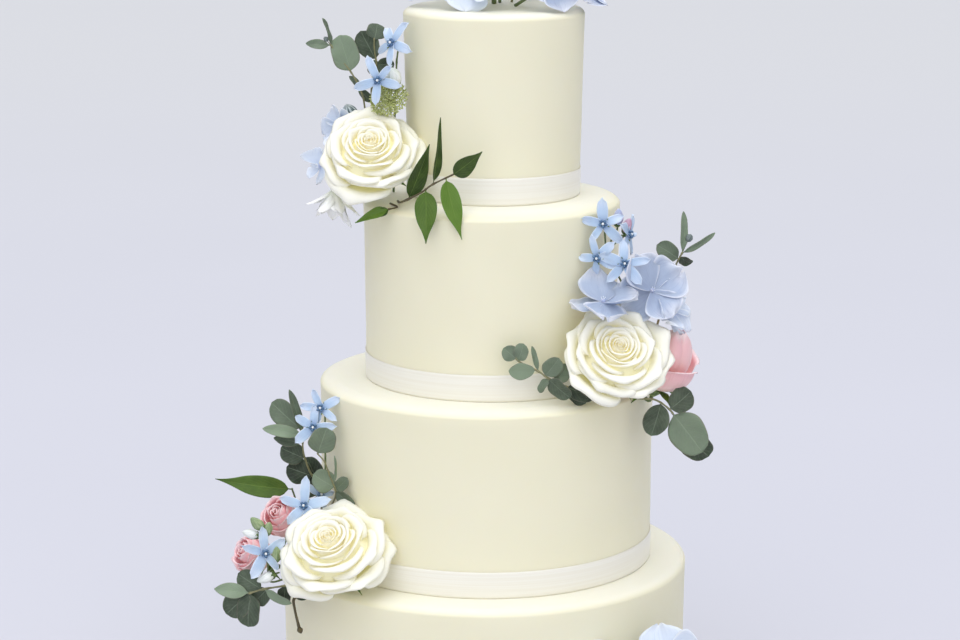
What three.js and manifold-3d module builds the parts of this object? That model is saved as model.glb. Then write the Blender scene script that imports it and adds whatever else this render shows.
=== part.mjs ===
// A four-tier wedding cake: plain round tiers under ivory sugarpaste, a satin ribbon round the foot of each,
// and five clusters of fresh flowers, one on the top, one at the foot and one on each ledge between.
// Millimetres, +Z up. The origin is the middle of the underside, and the front faces -Y.
import * as THREE from 'three';
import { mergeVertices } from 'three/addons/utils/BufferGeometryUtils.js';
import Module from 'manifold-3d';

const wasm = await Module();
wasm.setup();

// Driving dimensions of the cake.
const TIER_PITCH = 127.5;
// Each tier: its radius half way up, its shift to the right, how far the wall leans out on either side of
// half way, and how far the rounded edge reaches in from the wall and down from the top.
const TIERS = {
  foot: { radius: 140.7, shift: 0, lean: 0.8, edgeIn: 9, edgeDown: 5 },
  third: { radius: 115.4, shift: 1, lean: 0.4, edgeIn: 12, edgeDown: 5 },
  second: { radius: 87.2, shift: 3.9, lean: 1, edgeIn: 20, edgeDown: 6.5 },
  top: { radius: 60.2, shift: 5.4, lean: 1.5, edgeIn: 8, edgeDown: 5 },
};
const EDGE_STEPS = 2;
const RIBBON_HEIGHT = 19;
const RIBBON_THICKNESS = 0.8;
const GAP = 0.3;
const SEGMENTS = 28;

// Driving dimensions of the flowers.
const ROSE_WIDTH = 76;
const ROSE_PETALS = 5;
const LEAF_THICKNESS = 0.8;
const PETAL_THICKNESS = 0.9;
const STEM_SIDES = 3;
const ROOT_SINK = 0.3;
const STALK_SHARE = 0.75;
const ROSE_BACK = 19;
const ROSE_STALK = 1.8;
const PINK_STALK = 1.3;
const PINK_BACK_SHARE = 0.53;

const COLOURS = {
  sugarpaste: 0xefead6,
  satin: 0xf6f3ea,
  rose: 0xf6f3e2,
  pink: 0xe59aa6,
  hydrangea: 0xb4c3ea,
  star: 0xa5c6ee,
  eucalyptus: 0x5f7567,
  foliage: 0x4f8436,
  umbel: 0xa3b35a,
  white: 0xf1f0ec,
  bud: 0xb9c3bd,
};

const degrees = THREE.MathUtils.degToRad;
const vector = (x, y, z) => new THREE.Vector3(x, y, z);

// ---- Solids ----

function solidOf(geometry) {
  geometry.deleteAttribute('normal');
  geometry.deleteAttribute('uv');
  const merged = mergeVertices(geometry, 1e-3);
  const corners = [];
  for (let i = 0; i < merged.index.count; i += 3) {
    const [a, b, c] = [0, 1, 2].map((k) => merged.index.getX(i + k));
    if (a !== b && b !== c && c !== a) corners.push(a, b, c);
  }
  const vertProperties = Float32Array.from(merged.attributes.position.array);
  const triVerts = Uint32Array.from(corners);
  return new wasm.Manifold(new wasm.Mesh({ numProp: 3, vertProperties, triVerts }));
}

function geometryOf(solid) {
  const { vertProperties, triVerts } = solid.getMesh();
  const geometry = new THREE.BufferGeometry();
  geometry.setAttribute('position', new THREE.BufferAttribute(vertProperties, 3));
  geometry.setIndex(new THREE.BufferAttribute(triVerts, 1));
  return geometry;
}

function fuse(solids) {
  return solids.reduce((whole, solid) => whole.add(solid));
}

function largestBody(solid) {
  const bodies = solid.decompose();
  return bodies.reduce((best, body) => (body.volume() > best.volume() ? body : best));
}

// A closed thin solid between a front and a back face, both split alike. The rim lists the outline's points
// anticlockwise as seen from the front.
function slab(front, back, triangles, rim) {
  const positions = [...front, ...back].flatMap((p) => [p.x, p.y, p.z]);
  const far = front.length;
  const index = triangles.flatMap(([a, b, c]) => [a, b, c, far + a, far + c, far + b]);
  rim.forEach((a, i) => {
    const b = rim[(i + 1) % rim.length];
    index.push(b, a, far + a, b, far + a, far + b);
  });
  const geometry = new THREE.BufferGeometry();
  geometry.setAttribute('position', new THREE.Float32BufferAttribute(positions, 3));
  geometry.setIndex(index);
  return solidOf(geometry);
}

// A solid turned about +Z from [radius, height] points that start and end on the axis. `shape` may move a
// point, given its place in the profile and its angle.
function turned(profile, segments, shape = (point) => point) {
  const points = profile.map(([radius, height]) => new THREE.Vector2(radius, height));
  const geometry = new THREE.LatheGeometry(points, segments);
  geometry.rotateX(Math.PI / 2);
  const position = geometry.attributes.position;
  for (let i = 0; i < position.count; i += 1) {
    const point = new THREE.Vector3().fromBufferAttribute(position, i);
    const ring = i % points.length;
    const angle = Math.atan2(point.y, point.x);
    shape(point, ring, angle);
    position.setXYZ(i, point.x, point.y, point.z);
  }
  return solidOf(geometry);
}

const pathThrough = (points) => new THREE.CatmullRomCurve3(points.map((p) => vector(...p)));

function stem(points, radius, steps) {
  const section = new THREE.Shape();
  for (let i = 0; i < STEM_SIDES; i += 1) {
    const angle = (2 * Math.PI * i) / STEM_SIDES;
    const corner = [radius * Math.cos(angle), radius * Math.sin(angle)];
    if (i === 0) section.moveTo(...corner);
    else section.lineTo(...corner);
  }
  const extrudePath = pathThrough(points);
  return solidOf(new THREE.ExtrudeGeometry(section, { steps, bevelEnabled: false, extrudePath }));
}

// The point of a stem's straight steps that lies nearest to a share of its path.
function pointOn(points, steps, share) {
  const path = pathThrough(points);
  const wanted = path.getPoint(share);
  const knots = path.getSpacedPoints(steps);
  const nearest = knots.slice(1).map((knot, i) => (
    new THREE.Line3(knots[i], knot).closestPointToPoint(wanted, true, new THREE.Vector3())));
  return nearest.reduce((best, point) => (point.distanceTo(wanted) < best.distanceTo(wanted) ? point : best));
}

// ---- Placing ----

// The turn that faces a flower: azimuth 0 is the front and 90 the right, elevation is up from level, and roll
// turns it anticlockwise about the way it faces.
function facing(azimuth, elevation, roll = 0) {
  const a = degrees(azimuth);
  const e = degrees(elevation);
  const ahead = vector(Math.sin(a) * Math.cos(e), -Math.cos(a) * Math.cos(e), Math.sin(e));
  const right = vector(Math.cos(a), Math.sin(a), 0);
  const up = ahead.clone().cross(right);
  return new THREE.Matrix4().makeBasis(right, up, ahead).multiply(
    new THREE.Matrix4().makeRotationZ(degrees(roll)),
  );
}

function placed(solid, at, azimuth, elevation, roll) {
  const matrix = facing(azimuth, elevation, roll).setPosition(...at);
  return solid.transform(matrix.elements);
}

// ---- Leaves and small flowers, in their own frames: facing +Z ----

// Half widths along a leaf, as [share of the length, share of the half width].
const LEAF_SHAPES = {
  round: [[0.2, 0.86], [0.74, 0.94]],
  oval: [[0.26, 0.86], [0.72, 0.86]],
  pointed: [[0.24, 0.9], [0.62, 0.82]],
  blade: [[0.26, 0.9], [0.74, 0.9]],
};

// A leaf from the origin along +Y, folded at its midrib, its edges uneven and its tip drooping.
function leaf({ length, width, shape = 'round', fold = 1.2, droop = 2 }) {
  const [low, high] = LEAF_SHAPES[shape];
  const point = (share, side) => {
    const lift = fold * Math.abs(side) + 0.5 * side * Math.sin(9 * share);
    return vector((side * width) / 2, share * length, lift - droop * share * share);
  };
  const front = [
    point(0, 0), point(low[0], low[1]), point(high[0], high[1]), point(1, 0), point(high[0], -high[1]),
    point(low[0], -low[1]),
  ];
  const back = front.map((corner) => corner.clone().add(vector(0, 0, -LEAF_THICKNESS)));
  return slab(front, back, [[0, 1, 2], [0, 2, 3], [0, 3, 4], [0, 4, 5]], front.map((_, i) => i));
}

// The turn of a leaf that grows from `base`: heading is its direction in the front view, 0 right and 90 up,
// forward leans its tip to the front, and turn rolls its face about its length.
function leafMatrix(base, heading, forward, turn) {
  const h = degrees(heading);
  const f = degrees(forward);
  const along = vector(Math.cos(h) * Math.cos(f), -Math.sin(f), Math.sin(h) * Math.cos(f));
  const face = vector(0, -1, 0).addScaledVector(along, along.y).normalize();
  const side = along.clone().cross(face);
  return new THREE.Matrix4().makeBasis(side, along, face).multiply(
    new THREE.Matrix4().makeRotationY(degrees(turn)),
  ).setPosition(base);
}

// A round seed bud of a eucalyptus on a stalk of its own along +Y.
function seedBud(length, width) {
  const stalk = stem([[0, 0, 0], [0, length - 0.8 * width, 0]], 0.16 * width, 1);
  const head = turned([[0, 0], [0.45 * width, 0.5 * width], [0, width]], 5);
  return stalk.add(head.rotate([-90, 0, 0]).translate([0, length - width, 0]));
}

// A stem with its leaves. Each leaf: [share along the stem, heading, length, width, forward, turn, shape].
function sprig(points, radius, leaves) {
  const steps = points.length - 1;
  const grown = leaves.map(([share, heading, length, width, forward, turn, shape = 'round']) => {
    const matrix = leafMatrix(pointOn(points, steps, share), heading, forward, turn);
    const solid = shape === 'bud' ? seedBud(length, width) : leaf({ length, width, shape });
    return solid.translate([0, -ROOT_SINK * radius, 0]).transform(matrix.elements);
  });
  return fuse([stem(points, radius, steps), ...grown]);
}

// Flowers and buds on one branching stem. Each head has its solid, how far it reaches behind its middle, the
// share of the stem where it branches off, and its place and facing.
function spray(points, radius, heads) {
  const steps = points.length - 1;
  const grown = heads.flatMap(({ solid, back, share, at, faces }) => {
    const turn = facing(...faces).setPosition(...at);
    const neck = vector(0, 0, -back).applyMatrix4(turn);
    const stalk = [pointOn(points, steps, share).toArray(), neck.toArray()];
    return [solid.transform(turn.elements), stem(stalk, STALK_SHARE * radius, 1)];
  });
  return fuse([stem(points, radius, steps), ...grown]);
}

// Petals round a raised middle, as a thin solid: the notches between the petals ring the middle, and each
// petal is an outline from one notch to the next, split into triangles from its tip.
function whorl(middle, notches, petals, thickness) {
  const front = [middle, ...notches];
  const triangles = [];
  const rim = [];
  notches.forEach((_, k) => {
    const first = 1 + k;
    const last = 1 + ((k + 1) % notches.length);
    const outline = petals[k].map((_point, i) => front.length + i);
    front.push(...petals[k]);
    const ring = [...outline, last, first];
    const tip = Math.floor(outline.length / 2);
    triangles.push([0, first, last]);
    for (let i = 1; i < ring.length - 1; i += 1) {
      triangles.push([ring[tip], ring[(tip + i) % ring.length], ring[(tip + i + 1) % ring.length]]);
    }
    rim.push(first, ...outline);
  });
  const back = front.map((point) => point.clone().add(vector(0, 0, -thickness)));
  return slab(front, back, triangles, rim);
}

const polar = (radius, angle, height) => (
  vector(radius * Math.cos(degrees(angle)), radius * Math.sin(degrees(angle)), height));

// Five strap petals round a small raised crown.
function star(share, at, faces, size = 25, recurve = 2) {
  const reach = size / 2;
  const outline = [[-17, 0.66], [0, 1], [17, 0.66]];
  const notches = [];
  const petals = [];
  for (let k = 0; k < 5; k += 1) {
    notches.push(polar(0.2 * reach, 72 * k - 36, 0));
    petals.push(outline.map(([offset, part]) => {
      const droop = recurve * part * part + 0.6 * Math.sin(2.3 * k + 5 * part);
      return polar(reach * part, 72 * k + offset, -droop);
    }));
  }
  return { solid: whorl(vector(0, 0, 2), notches, petals, PETAL_THICKNESS), back: -1.6, share, at, faces };
}

// A closed bud, its root at the place given.
function bud(share, at, faces, length = 11) {
  const wide = 0.3 * length;
  const profile = [[0, -1], [wide, 0.35 * length], [0.6 * wide, 0.8 * length], [0, length]];
  return { solid: turned(profile, 5), back: 0, share, at, faces };
}

// Four broad petals, cupped and uneven.
function floret(share, at, faces, size = 42, cup = 3, wave = 1.5) {
  const reach = size / 2;
  const outline = [[-29, 0.92], [-2, 1.04], [30, 0.92]];
  const notches = [];
  const petals = [];
  for (let k = 0; k < 4; k += 1) {
    notches.push(polar(0.4 * reach, 90 * k - 45, 0.5));
    petals.push(outline.map(([offset, part]) => {
      const height = cup * part * part + wave * Math.sin(2.6 * k + offset / 15);
      return polar(reach * part * (1 + 0.05 * Math.sin(3.1 * k)), 90 * k + offset, height);
    }));
  }
  return { solid: whorl(vector(0, 0, 1), notches, petals, PETAL_THICKNESS), back: -0.6, share, at, faces };
}

// ---- Roses ----

const sized = (profile, size) => profile.map(([radius, height]) => [radius * size, height * size]);

// A rose as wide as ROSE_PROFILE_WIDTH, from the calyx out under the outer petals, round their rolled edge
// and in over the rims of the inner petals, as crests and hollows.
const ROSE_PROFILE_WIDTH = 77;
const ROSE_PROFILE = [
  [0, -27], [3, -21], [15, -15], [26, -9], [38.5, -3], [37, -1], [28, 3], [22, 0.5], [20, 9.5], [14.5, 7],
  [11, 13.5], [6, 10.5], [0, 15],
];
const FIRST_OUTER = 4;
const FIRST_INNER = 7;

// The space that a rose takes up, which its neighbours stay out of.
const ROSE_ROOM = [
  [0, -28], [3.2, -27], [4.2, -21], [15, -17.5], [27, -9], [41, -9], [41.5, 5], [28, 8], [19, 13], [10, 16],
  [0, 18],
];

// A bloom facing +Z. Its outer petals are lobes of one collar, pointed at the tip and rolled down there; the
// rims inside them turn from one round to the next.
function bloom(seed, size) {
  return turned(sized(ROSE_PROFILE, size), 3 * ROSE_PETALS, (point, ring, angle) => {
    if (ring >= FIRST_INNER) {
      const turn = 3 * angle + 1.6 * Math.floor((ring - FIRST_INNER) / 2) + seed;
      point.x *= 1 + 0.1 * Math.cos(turn);
      point.y *= 1 + 0.1 * Math.cos(turn);
      point.z += 1.1 * Math.cos(turn + 1);
    } else if (ring >= FIRST_OUTER) {
      const tip = Math.cos(ROSE_PETALS * angle);
      const lobe = 0.93 + 0.09 * tip + 0.02 * Math.sin(2 * angle + seed);
      point.x *= lobe;
      point.y *= lobe;
      point.z -= 2.5 * tip * Math.max(0, tip) + 1.5 * Math.cos(2 * angle + seed);
    }
  });
}

// A flower whose rim, `edge` from its axis, hangs lower by `droop` than in an upright one.
function drooping(solid, edge, droop) {
  return solid.warp((point) => {
    point[2] -= droop * (Math.hypot(point[0], point[1]) / edge) ** 3;
  });
}

// The stalk of a large flower, from its back to where it goes into the cake.
function stalkTo(root, at, faces, back, radius) {
  const neck = vector(0, 0, -back).applyMatrix4(facing(...faces).setPosition(...at));
  const bend = neck.clone().lerp(vector(...root), 0.5).add(vector(0, 0, 1));
  return stem([neck.toArray(), bend.toArray(), root], radius, 2);
}

function rose(at, faces, root, seed, width = ROSE_WIDTH, droop = 0) {
  const size = width / ROSE_PROFILE_WIDTH;
  const [flower, room] = [bloom(seed, size), turned(sized(ROSE_ROOM, size), 16)].map(
    (solid) => placed(drooping(solid, width / 2, droop), at, ...faces),
  );
  return { solid: flower.add(stalkTo(root, at, faces, ROSE_BACK, ROSE_STALK)), room };
}

// ---- Cupped pink flowers ----

// Shares of the flower's width: out under the three outer petals, round their edge and in over the heart,
// and the space that the flower takes up.
const CUP = {
  lastPetal: 6,
  profile: [
    [0, -0.58], [0.12, -0.54], [0.38, -0.36], [0.52, 0], [0.55, 0.2], [0.5, 0.21], [0.41, 0.04], [0.3, 0.02],
    [0.3, 0.24], [0.16, 0.32], [0, 0.26],
  ],
  room: [
    [0, -0.64], [0.14, -0.61], [0.42, -0.5], [0.63, -0.1], [0.66, 0.24], [0.38, 0.38], [0, 0.4],
  ],
};
const EGG = {
  lastPetal: 4,
  profile: [
    [0, -0.56], [0.14, -0.48], [0.36, -0.28], [0.47, -0.06], [0.43, 0], [0.36, -0.06], [0.35, 0.08],
    [0.26, 0.3], [0.1, 0.43], [0, 0.44],
  ],
  room: [
    [0, -0.62], [0.17, -0.55], [0.42, -0.36], [0.56, -0.12], [0.54, 0.08], [0.42, 0.1], [0.32, 0.36],
    [0.14, 0.5], [0, 0.52],
  ],
};
const FIRST_PETAL = 2;

function pinkFlower(at, faces, root, width, { profile, room, lastPetal } = CUP) {
  const cup = turned(sized(profile, width), 9, (point, ring, angle) => {
    const outer = ring >= FIRST_PETAL && ring <= lastPetal;
    const swell = outer ? 0.94 + 0.1 * Math.cos(3 * angle) : 1 + 0.08 * Math.cos(3 * angle + ring);
    point.x *= swell;
    point.y *= swell;
    if (outer) point.z += 0.05 * width * Math.cos(3 * angle + 0.6);
  });
  const solid = placed(cup, at, ...faces).add(stalkTo(root, at, faces, PINK_BACK_SHARE * width, PINK_STALK));
  return { solid, room: placed(turned(sized(room, width), 12), at, ...faces) };
}

// ---- Other small flowers ----

// A hanging white flower: five narrow petals in a loose bell round its middle.
function bell(share, at, faces, size) {
  const petals = [];
  for (let k = 0; k < 5; k += 1) {
    const blade = leaf({ length: size, width: 0.36 * size, shape: 'oval', fold: 1, droop: 1 });
    const turn = new THREE.Matrix4().makeRotationZ(degrees(72 * k));
    turn.multiply(new THREE.Matrix4().makeTranslation(0, 2.2, 1));
    turn.multiply(new THREE.Matrix4().makeRotationX(degrees(62 - 12 * (k % 2))));
    petals.push(blade.transform(turn.elements));
  }
  const heart = turned([[0, -5], [3.6, 1], [0, 6]], 5);
  return { solid: fuse([heart, ...petals]), back: 4, share, at, faces };
}

// A flat head of tiny green flowers on branching stalks, knobbly on top.
function umbel(share, at, faces, width) {
  const reach = width / 2;
  const profile = [[0, -9], [0.5 * reach, -4], [reach, -1], [0.95 * reach, 2.4], [0.5 * reach, 4], [0, 4.6]];
  const solid = turned(profile, 10, (point, ring, angle) => {
    if (ring < 2) return;
    const knob = Math.sin(5 * angle + 2.4 * ring);
    point.x *= 1 + 0.07 * knob;
    point.y *= 1 + 0.07 * knob;
    point.z += 0.8 * knob;
  });
  return { solid, back: 8, share, at, faces };
}

// ---- The cake ----

const tierNames = Object.keys(TIERS);
const tierFoot = (i) => TIER_PITCH * i + (i ? GAP : 0);
const tierTop = (i) => TIER_PITCH * (i + 1);

// The wall is straight behind the ribbon and leans out above it.
function tierProfile(i, spare = 0) {
  const { radius, lean, edgeIn, edgeDown } = TIERS[tierNames[i]];
  const foot = tierFoot(i) - spare;
  const low = radius - lean + spare;
  const high = radius + lean + spare;
  const profile = [[0, foot], [low, foot], [low, TIER_PITCH * i + RIBBON_HEIGHT]];
  for (let k = 0; k <= EDGE_STEPS; k += 1) {
    const angle = ((Math.PI / 2) * k) / EDGE_STEPS;
    profile.push([
      high - edgeIn * (1 - Math.cos(angle)),
      tierTop(i) + spare - edgeDown * (1 - Math.sin(angle)),
    ]);
  }
  return [...profile, [0, tierTop(i) + spare]];
}

function ribbonProfile(i, spare = 0) {
  const { radius, lean } = TIERS[tierNames[i]];
  const inner = spare ? 0 : radius - lean + GAP;
  const outer = radius - lean + GAP + RIBBON_THICKNESS + spare;
  const low = TIER_PITCH * i + 2 * GAP - spare;
  const high = TIER_PITCH * i + RIBBON_HEIGHT + spare;
  const section = [[inner, low], [outer, low], [outer, high], [inner, high]];
  return spare ? section : [...section, [inner, low]];
}

const shifted = (solid, i) => solid.translate([TIERS[tierNames[i]].shift, 0, 0]);

// The cake with room for a gap round it, which keeps flowers and stems clear of it.
function cakeWithRoom() {
  const rooms = tierNames.flatMap((_, i) => [
    shifted(turned(tierProfile(i, GAP), SEGMENTS), i),
    shifted(turned(ribbonProfile(i, GAP), SEGMENTS), i),
  ]);
  return fuse(rooms);
}

// ---- Assembly ----

const group = new THREE.Group();
const room = cakeWithRoom();

function addMesh(parent, name, solid, colour, roughness, position = [0, 0, 0]) {
  const material = new THREE.MeshStandardMaterial({ color: COLOURS[colour], roughness, metalness: 0 });
  const mesh = new THREE.Mesh(geometryOf(solid), material);
  mesh.name = name;
  mesh.position.set(...position);
  parent.add(mesh);
}

tierNames.forEach((name, i) => {
  const at = [TIERS[name].shift, 0, 0];
  addMesh(group, `tier_${name}`, turned(tierProfile(i), SEGMENTS), 'sugarpaste', 0.55, at);
  addMesh(group, `ribbon_${name}`, turned(ribbonProfile(i), SEGMENTS), 'satin', 0.35, at);
});

// A cluster's pieces are placed from its anchor, the point of the ledge where its stems meet. Each piece is
// cut back where it would touch the cake or a rose or pink flower named before it.
function cluster(anchor, pieces) {
  const parent = new THREE.Group();
  parent.position.set(...anchor);
  group.add(parent);
  const taken = [room.translate(anchor.map((value) => -value))];
  for (const [name, colour, piece] of pieces) {
    const whole = piece.solid ?? piece;
    addMesh(parent, name, largestBody(taken.reduce((rest, body) => rest.subtract(body), whole)), colour, 0.6);
    if (piece.room) taken.push(piece.room);
  }
}

// The anchors of the clusters, from the ledge under the top tier down to the floor, and then the top.
const POINT_A = [-70, -30, 3 * TIER_PITCH];
const POINT_B = [85, -60, 2 * TIER_PITCH];
const POINT_C = [-95, -70, TIER_PITCH];
const POINT_D = [118, -112, 0];
const POINT_T = [TIERS.top.shift, 0, 4 * TIER_PITCH];

cluster(POINT_A, [
  ['rose_a', 'rose', rose([-6.8, -15, 34.5], [-2, 46, 14], [-5, 12, 0.5], 0.4, 73, 3)],
  ['star_spray_a', 'star', spray([[7, 26, 0.4], [8, 27, 54], [10, 10, 94]], 0.9, [
    star(0.97, [7, -4, 106], [-46, 22, -6], 33),
    star(0.8, [-2, -12, 82], [-15, 5, -20], 32),
    bud(0.86, [9, -3, 79], [-18, 58], 13),
  ])],
  ['umbel_a', 'umbel', spray([[3, 22, 0.4], [4, 25, 44], [7, 15, 63]], 0.8, [
    umbel(0.98, [5, -2, 68], [-18, 40], 26),
  ])],
  ['eucalyptus_a_left', 'eucalyptus', sprig(
    [[-5, 30, 1], [-12, 26, 56], [-14, 12, 71], [-20, 2, 85], [-29, 0, 97], [-34, -2, 105]], 0.7,
    [[0.61, 107, 26, 19, 8, 8], [0.98, 178, 17, 7, 0, 20, 'oval'], [0.97, 104, 19, 5, 0, 65, 'blade'],
      [0.96, 128, 8, 4, 0, 0, 'bud'], [0.45, 127, 10, 5, 0, 30, 'oval']],
  )],
  ['eucalyptus_a_right', 'eucalyptus', sprig(
    [[1, 32, 1], [-7, 26, 60], [-7, 20, 75], [-4, 14, 88], [-5, 10, 101], [-5, 8, 108]], 0.8,
    [[0.67, 117, 22, 16, 8, -10], [0.96, 76, 11, 14, -8, 10], [0.62, 3, 12, 10, 4, 10],
      [0.49, 80, 11, 11, 14, 20], [0.4, 8, 20, 11, -10, -10], [0.21, 135, 13, 7, 0, 30, 'oval']],
  )],
  ['hydrangea_a', 'hydrangea', spray([[-9, 23, 0.3], [-16, 27, 26], [-25, 24, 40]], 1.2, [
    floret(0.97, [-28, 17, 46], [-36, 14, 30], 30),
    floret(0.7, [-41, 6, 22], [-66, -4, 10], 26, 2),
  ])],
  ['leafy_sprig_a', 'foliage', sprig(
    [[11, -14, 1], [14, -30, 3], [27, -47, 12], [35, -49, 18], [49, -50, 25]], 0.8,
    [[0.35, 66, 39, 13, -10, 25, 'pointed'], [0.76, 82, 44, 9, -8, 58, 'pointed'],
      [0.98, 34, 25, 13, -4, 15, 'pointed'], [0.61, -88, 36, 15, 15, 8, 'pointed'],
      [0.91, -78, 42, 13, 14, -10, 'pointed']],
  )],
  ['low_leaf_a', 'foliage', sprig(
    [[6, -16, -0.3], [11, -26, -1], [5, -33, -1.5]], 0.7,
    [[0.98, 200, 24, 8, 2, 40, 'pointed'], [0.94, 206, 13, 6, 0, 20, 'pointed']],
  )],
  ['bell_flower_a', 'white', spray([[-7, 17, 1], [-16, 12, 12], [-25, 2, 16]], 0.8, [
    bell(0.98, [-30, -10, 9], [-28, -68, 0], 25),
  ])],
  ['striped_bud_a', 'bud', spray([[-13, 27, 0.3], [-16, 30, 30], [-20, 27, 45]], 0.7, [
    bud(0.98, [-21, 22, 51], [-30, 58], 13),
  ])],
]);

cluster(POINT_B, [
  ['rose_b', 'rose', rose([1.4, -27, 32.5], [13, 43, 40], [4, 6, 0.5], 2.2)],
  ['pink_flower_b', 'pink', pinkFlower([38, 3, 24], [46, 64, 0], [15, 12, 0.5], 48, EGG)],
  ['hydrangea_b_left', 'hydrangea', spray([[8, 23, 1], [8, 24, 50], [2, 13, 68]], 1.2, [
    floret(0.98, [-7, -22.6, 67.6], [-12, 70, 20], 46, 6, 3.6),
  ])],
  ['hydrangea_b_right', 'hydrangea', spray([[19, 27, 1], [22, 24, 40], [26, 10, 56]], 1.2, [
    floret(0.97, [26, -6, 72], [14, 30, 30], 46, 5, 4),
    floret(0.85, [40, 4, 57], [40, 24, 20], 36, 3, 4),
  ])],
  ['star_spray_b', 'star', spray([[13, 20, 0.6], [12, 19, 56], [2, 6, 84], [-5, 2, 97]], 0.9, [
    star(0.98, [-7, -5, 117], [-8, 8, 20], 33),
    star(0.92, [11, 0, 109], [62, 14, 0], 30, 1),
    star(0.84, [-11, -12, 95.3], [-22, -6, 40], 29),
    star(0.8, [7, -14, 92], [8, 8, 12], 33),
    bud(0.96, [8, 4, 110], [40, 64], 11),
    bud(0.97, [3, 5, 115], [10, 72], 12),
  ])],
  ['eucalyptus_b_top', 'eucalyptus', sprig(
    [[22, 32, 1], [37, 30, 58], [43, 22, 82], [48, 18, 94]], 0.8,
    [[0.98, 86, 28, 6, 0, 25, 'blade'], [0.97, 29, 26, 5, 4, 20, 'blade'], [0.83, 144, 18, 13, 10, 25],
      [0.89, -40, 10, 10, -10, 40], [0.95, 66, 15, 6, 0, 0, 'bud']],
  )],
  ['eucalyptus_b_left', 'eucalyptus', sprig(
    [[-4, -16, 1], [-14, -26, 4], [-27, -30, 10], [-42, -36, 18], [-50, -38, 24], [-63, -39, 31],
      [-65, -39, 34]], 0.7,
    [[0.9, 137, 11, 11, 0, 15], [0.84, 72, 12, 10, 8, -10], [0.69, 182, 18, 12, 12, -15],
      [0.67, 106, 17, 4, -12, 20, 'blade'], [0.57, 54, 15, 14, 6, 15], [0.46, 48, 14, 11, -6, 0],
      [0.52, -44, 19, 13, 14, 25], [0.52, 231, 11, 6, 10, 30], [0.38, -22, 20, 12, 6, 0],
      [0.35, -50, 14, 11, 14, 20]],
  )],
  ['eucalyptus_b_low', 'eucalyptus', sprig(
    [[4, -8, 1], [19, -14, 0], [29, -14, -1], [38, -14, -7], [43, -14, -14], [49, -15, -26]], 0.8,
    [[0.48, 256, 23, 17, 16, 10], [0.62, 36, 19, 17, -8, -15], [0.7, -50, 33, 25, 16, 0],
      [0.97, -44, 25, 21, -6, 15]],
  )],
]);

cluster(POINT_C, [
  ['rose_c', 'rose', rose([-7, -36, 33], [-18, 50, -8], [-11, -4, 0.5], 4.1, 77, 9)],
  ['pink_flower_c_upper', 'pink', pinkFlower([-42, 6, 41], [-35, 40, 0], [-29, 26, 0.5], 31)],
  ['pink_flower_c_lower', 'pink', pinkFlower([-63, -1, 17], [-58, 30, 0], [-26, 11, 0.5], 29)],
  ['star_spray_c_top', 'star', spray([[-22, 29, 0.6], [-15, 25, 52], [-14, 24, 97]], 0.9, [
    star(0.93, [-21, 6, 104.4], [-10, 12, 10], 31),
    star(0.98, [-16, 10, 116.7], [-20, 18, 40], 31),
  ])],
  ['star_spray_c_mid', 'star', spray([[-20, 20, 1], [-24, 22, 30], [-25, 16, 51]], 0.9, [
    star(0.98, [-27, -7, 53], [-14, 24, 25], 36),
    star(0.9, [-17, 12, 55.3], [34, 28, 0], 25, 0.5),
  ])],
  ['star_spray_c_low', 'star', spray(
    [[-22, 4, 0.8], [-38, -2, 0.8], [-50, -14, 2], [-51, -20, 17], [-52, -22, 33]], 0.8, [
      star(0.76, [-52, -28, 26], [22, 5, 22], 34),
      bud(0.55, [-47, -25, 10], [-70, -16], 12),
      bud(0.98, [-54, -23, 42], [-60, 45], 12),
      bud(0.94, [-57, -24, 37], [-80, 18], 11),
      bud(0.96, [-51, -22, 38], [30, 64], 10),
      bud(0.6, [-45, -23, 20], [10, 70], 11),
    ],
  )],
  ['eucalyptus_c_up', 'eucalyptus', sprig(
    [[-23, 33, 1], [-17, 30, 50], [-25, 26, 68], [-29, 22, 83], [-29, 18, 95], [-30, 17, 101]], 0.8,
    [[0.98, 143, 27, 17, -8, 10], [0.84, 103, 33, 7, 8, 35, 'blade'], [0.81, 161, 28, 9, 14, 25, 'blade'],
      [0.71, 172, 20, 9, 4, 20, 'oval'], [0.53, 160, 18, 16, -4, 15], [0.35, 158, 19, 17, 8, 10],
      [0.28, 115, 19, 16, -4, -10], [0.23, 170, 14, 13, 6, 10]],
  )],
  ['eucalyptus_c_right', 'eucalyptus', sprig(
    [[-15, 27, 0.6], [-11, 20, 40], [-6, 4, 59], [-10, 1, 72], [-13, -2, 82], [-18, -4, 89]], 0.7,
    [[0.98, 73, 19, 19, 6, 10], [0.46, 149, 17, 16, 8, 10], [0.42, -35, 18, 10, 34, 20],
      [0.43, 51, 14, 9, 30, -10], [0.5, 80, 24, 2, 24, 40, 'blade']],
  )],
  ['long_leaf_c', 'foliage', sprig(
    [[-32, 30, 1], [-35, 30, 43], [-37, 22, 57]], 0.9,
    [[0.98, 175, 53, 15, 3, 12, 'pointed']],
  )],
  ['eucalyptus_c_low', 'eucalyptus', sprig(
    [[-18, -8, 0.6], [-28, -12, 0.5], [-41, -18, 0], [-54, -22, -1], [-64, -22, -4]], 0.8,
    [[0.98, 169, 24, 11, 10, 30, 'oval'], [0.77, 151, 20, 15, -14, 0], [0.69, 229, 16, 14, -10, 10],
      [0.98, 222, 23, 18, -4, 5], [0.96, 260, 24, 17, 4, 10], [0.74, -29, 21, 9, 16, 30, 'oval'],
      [0.47, 262, 13, 10, 8, 10], [0.38, -50, 14, 10, 8, 10]],
  )],
  ['twig_c', 'eucalyptus', spray(
    [[-4, -14, 1.8], [-14, -17, 1.6], [-24, -22, -2], [-33, -23, -7], [-33, -24, -14],
      [-30, -26, -27]], 1.25, [
      bud(0.99, [-30, -26, -27], [50, -60], 4),
    ],
  )],
]);

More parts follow.
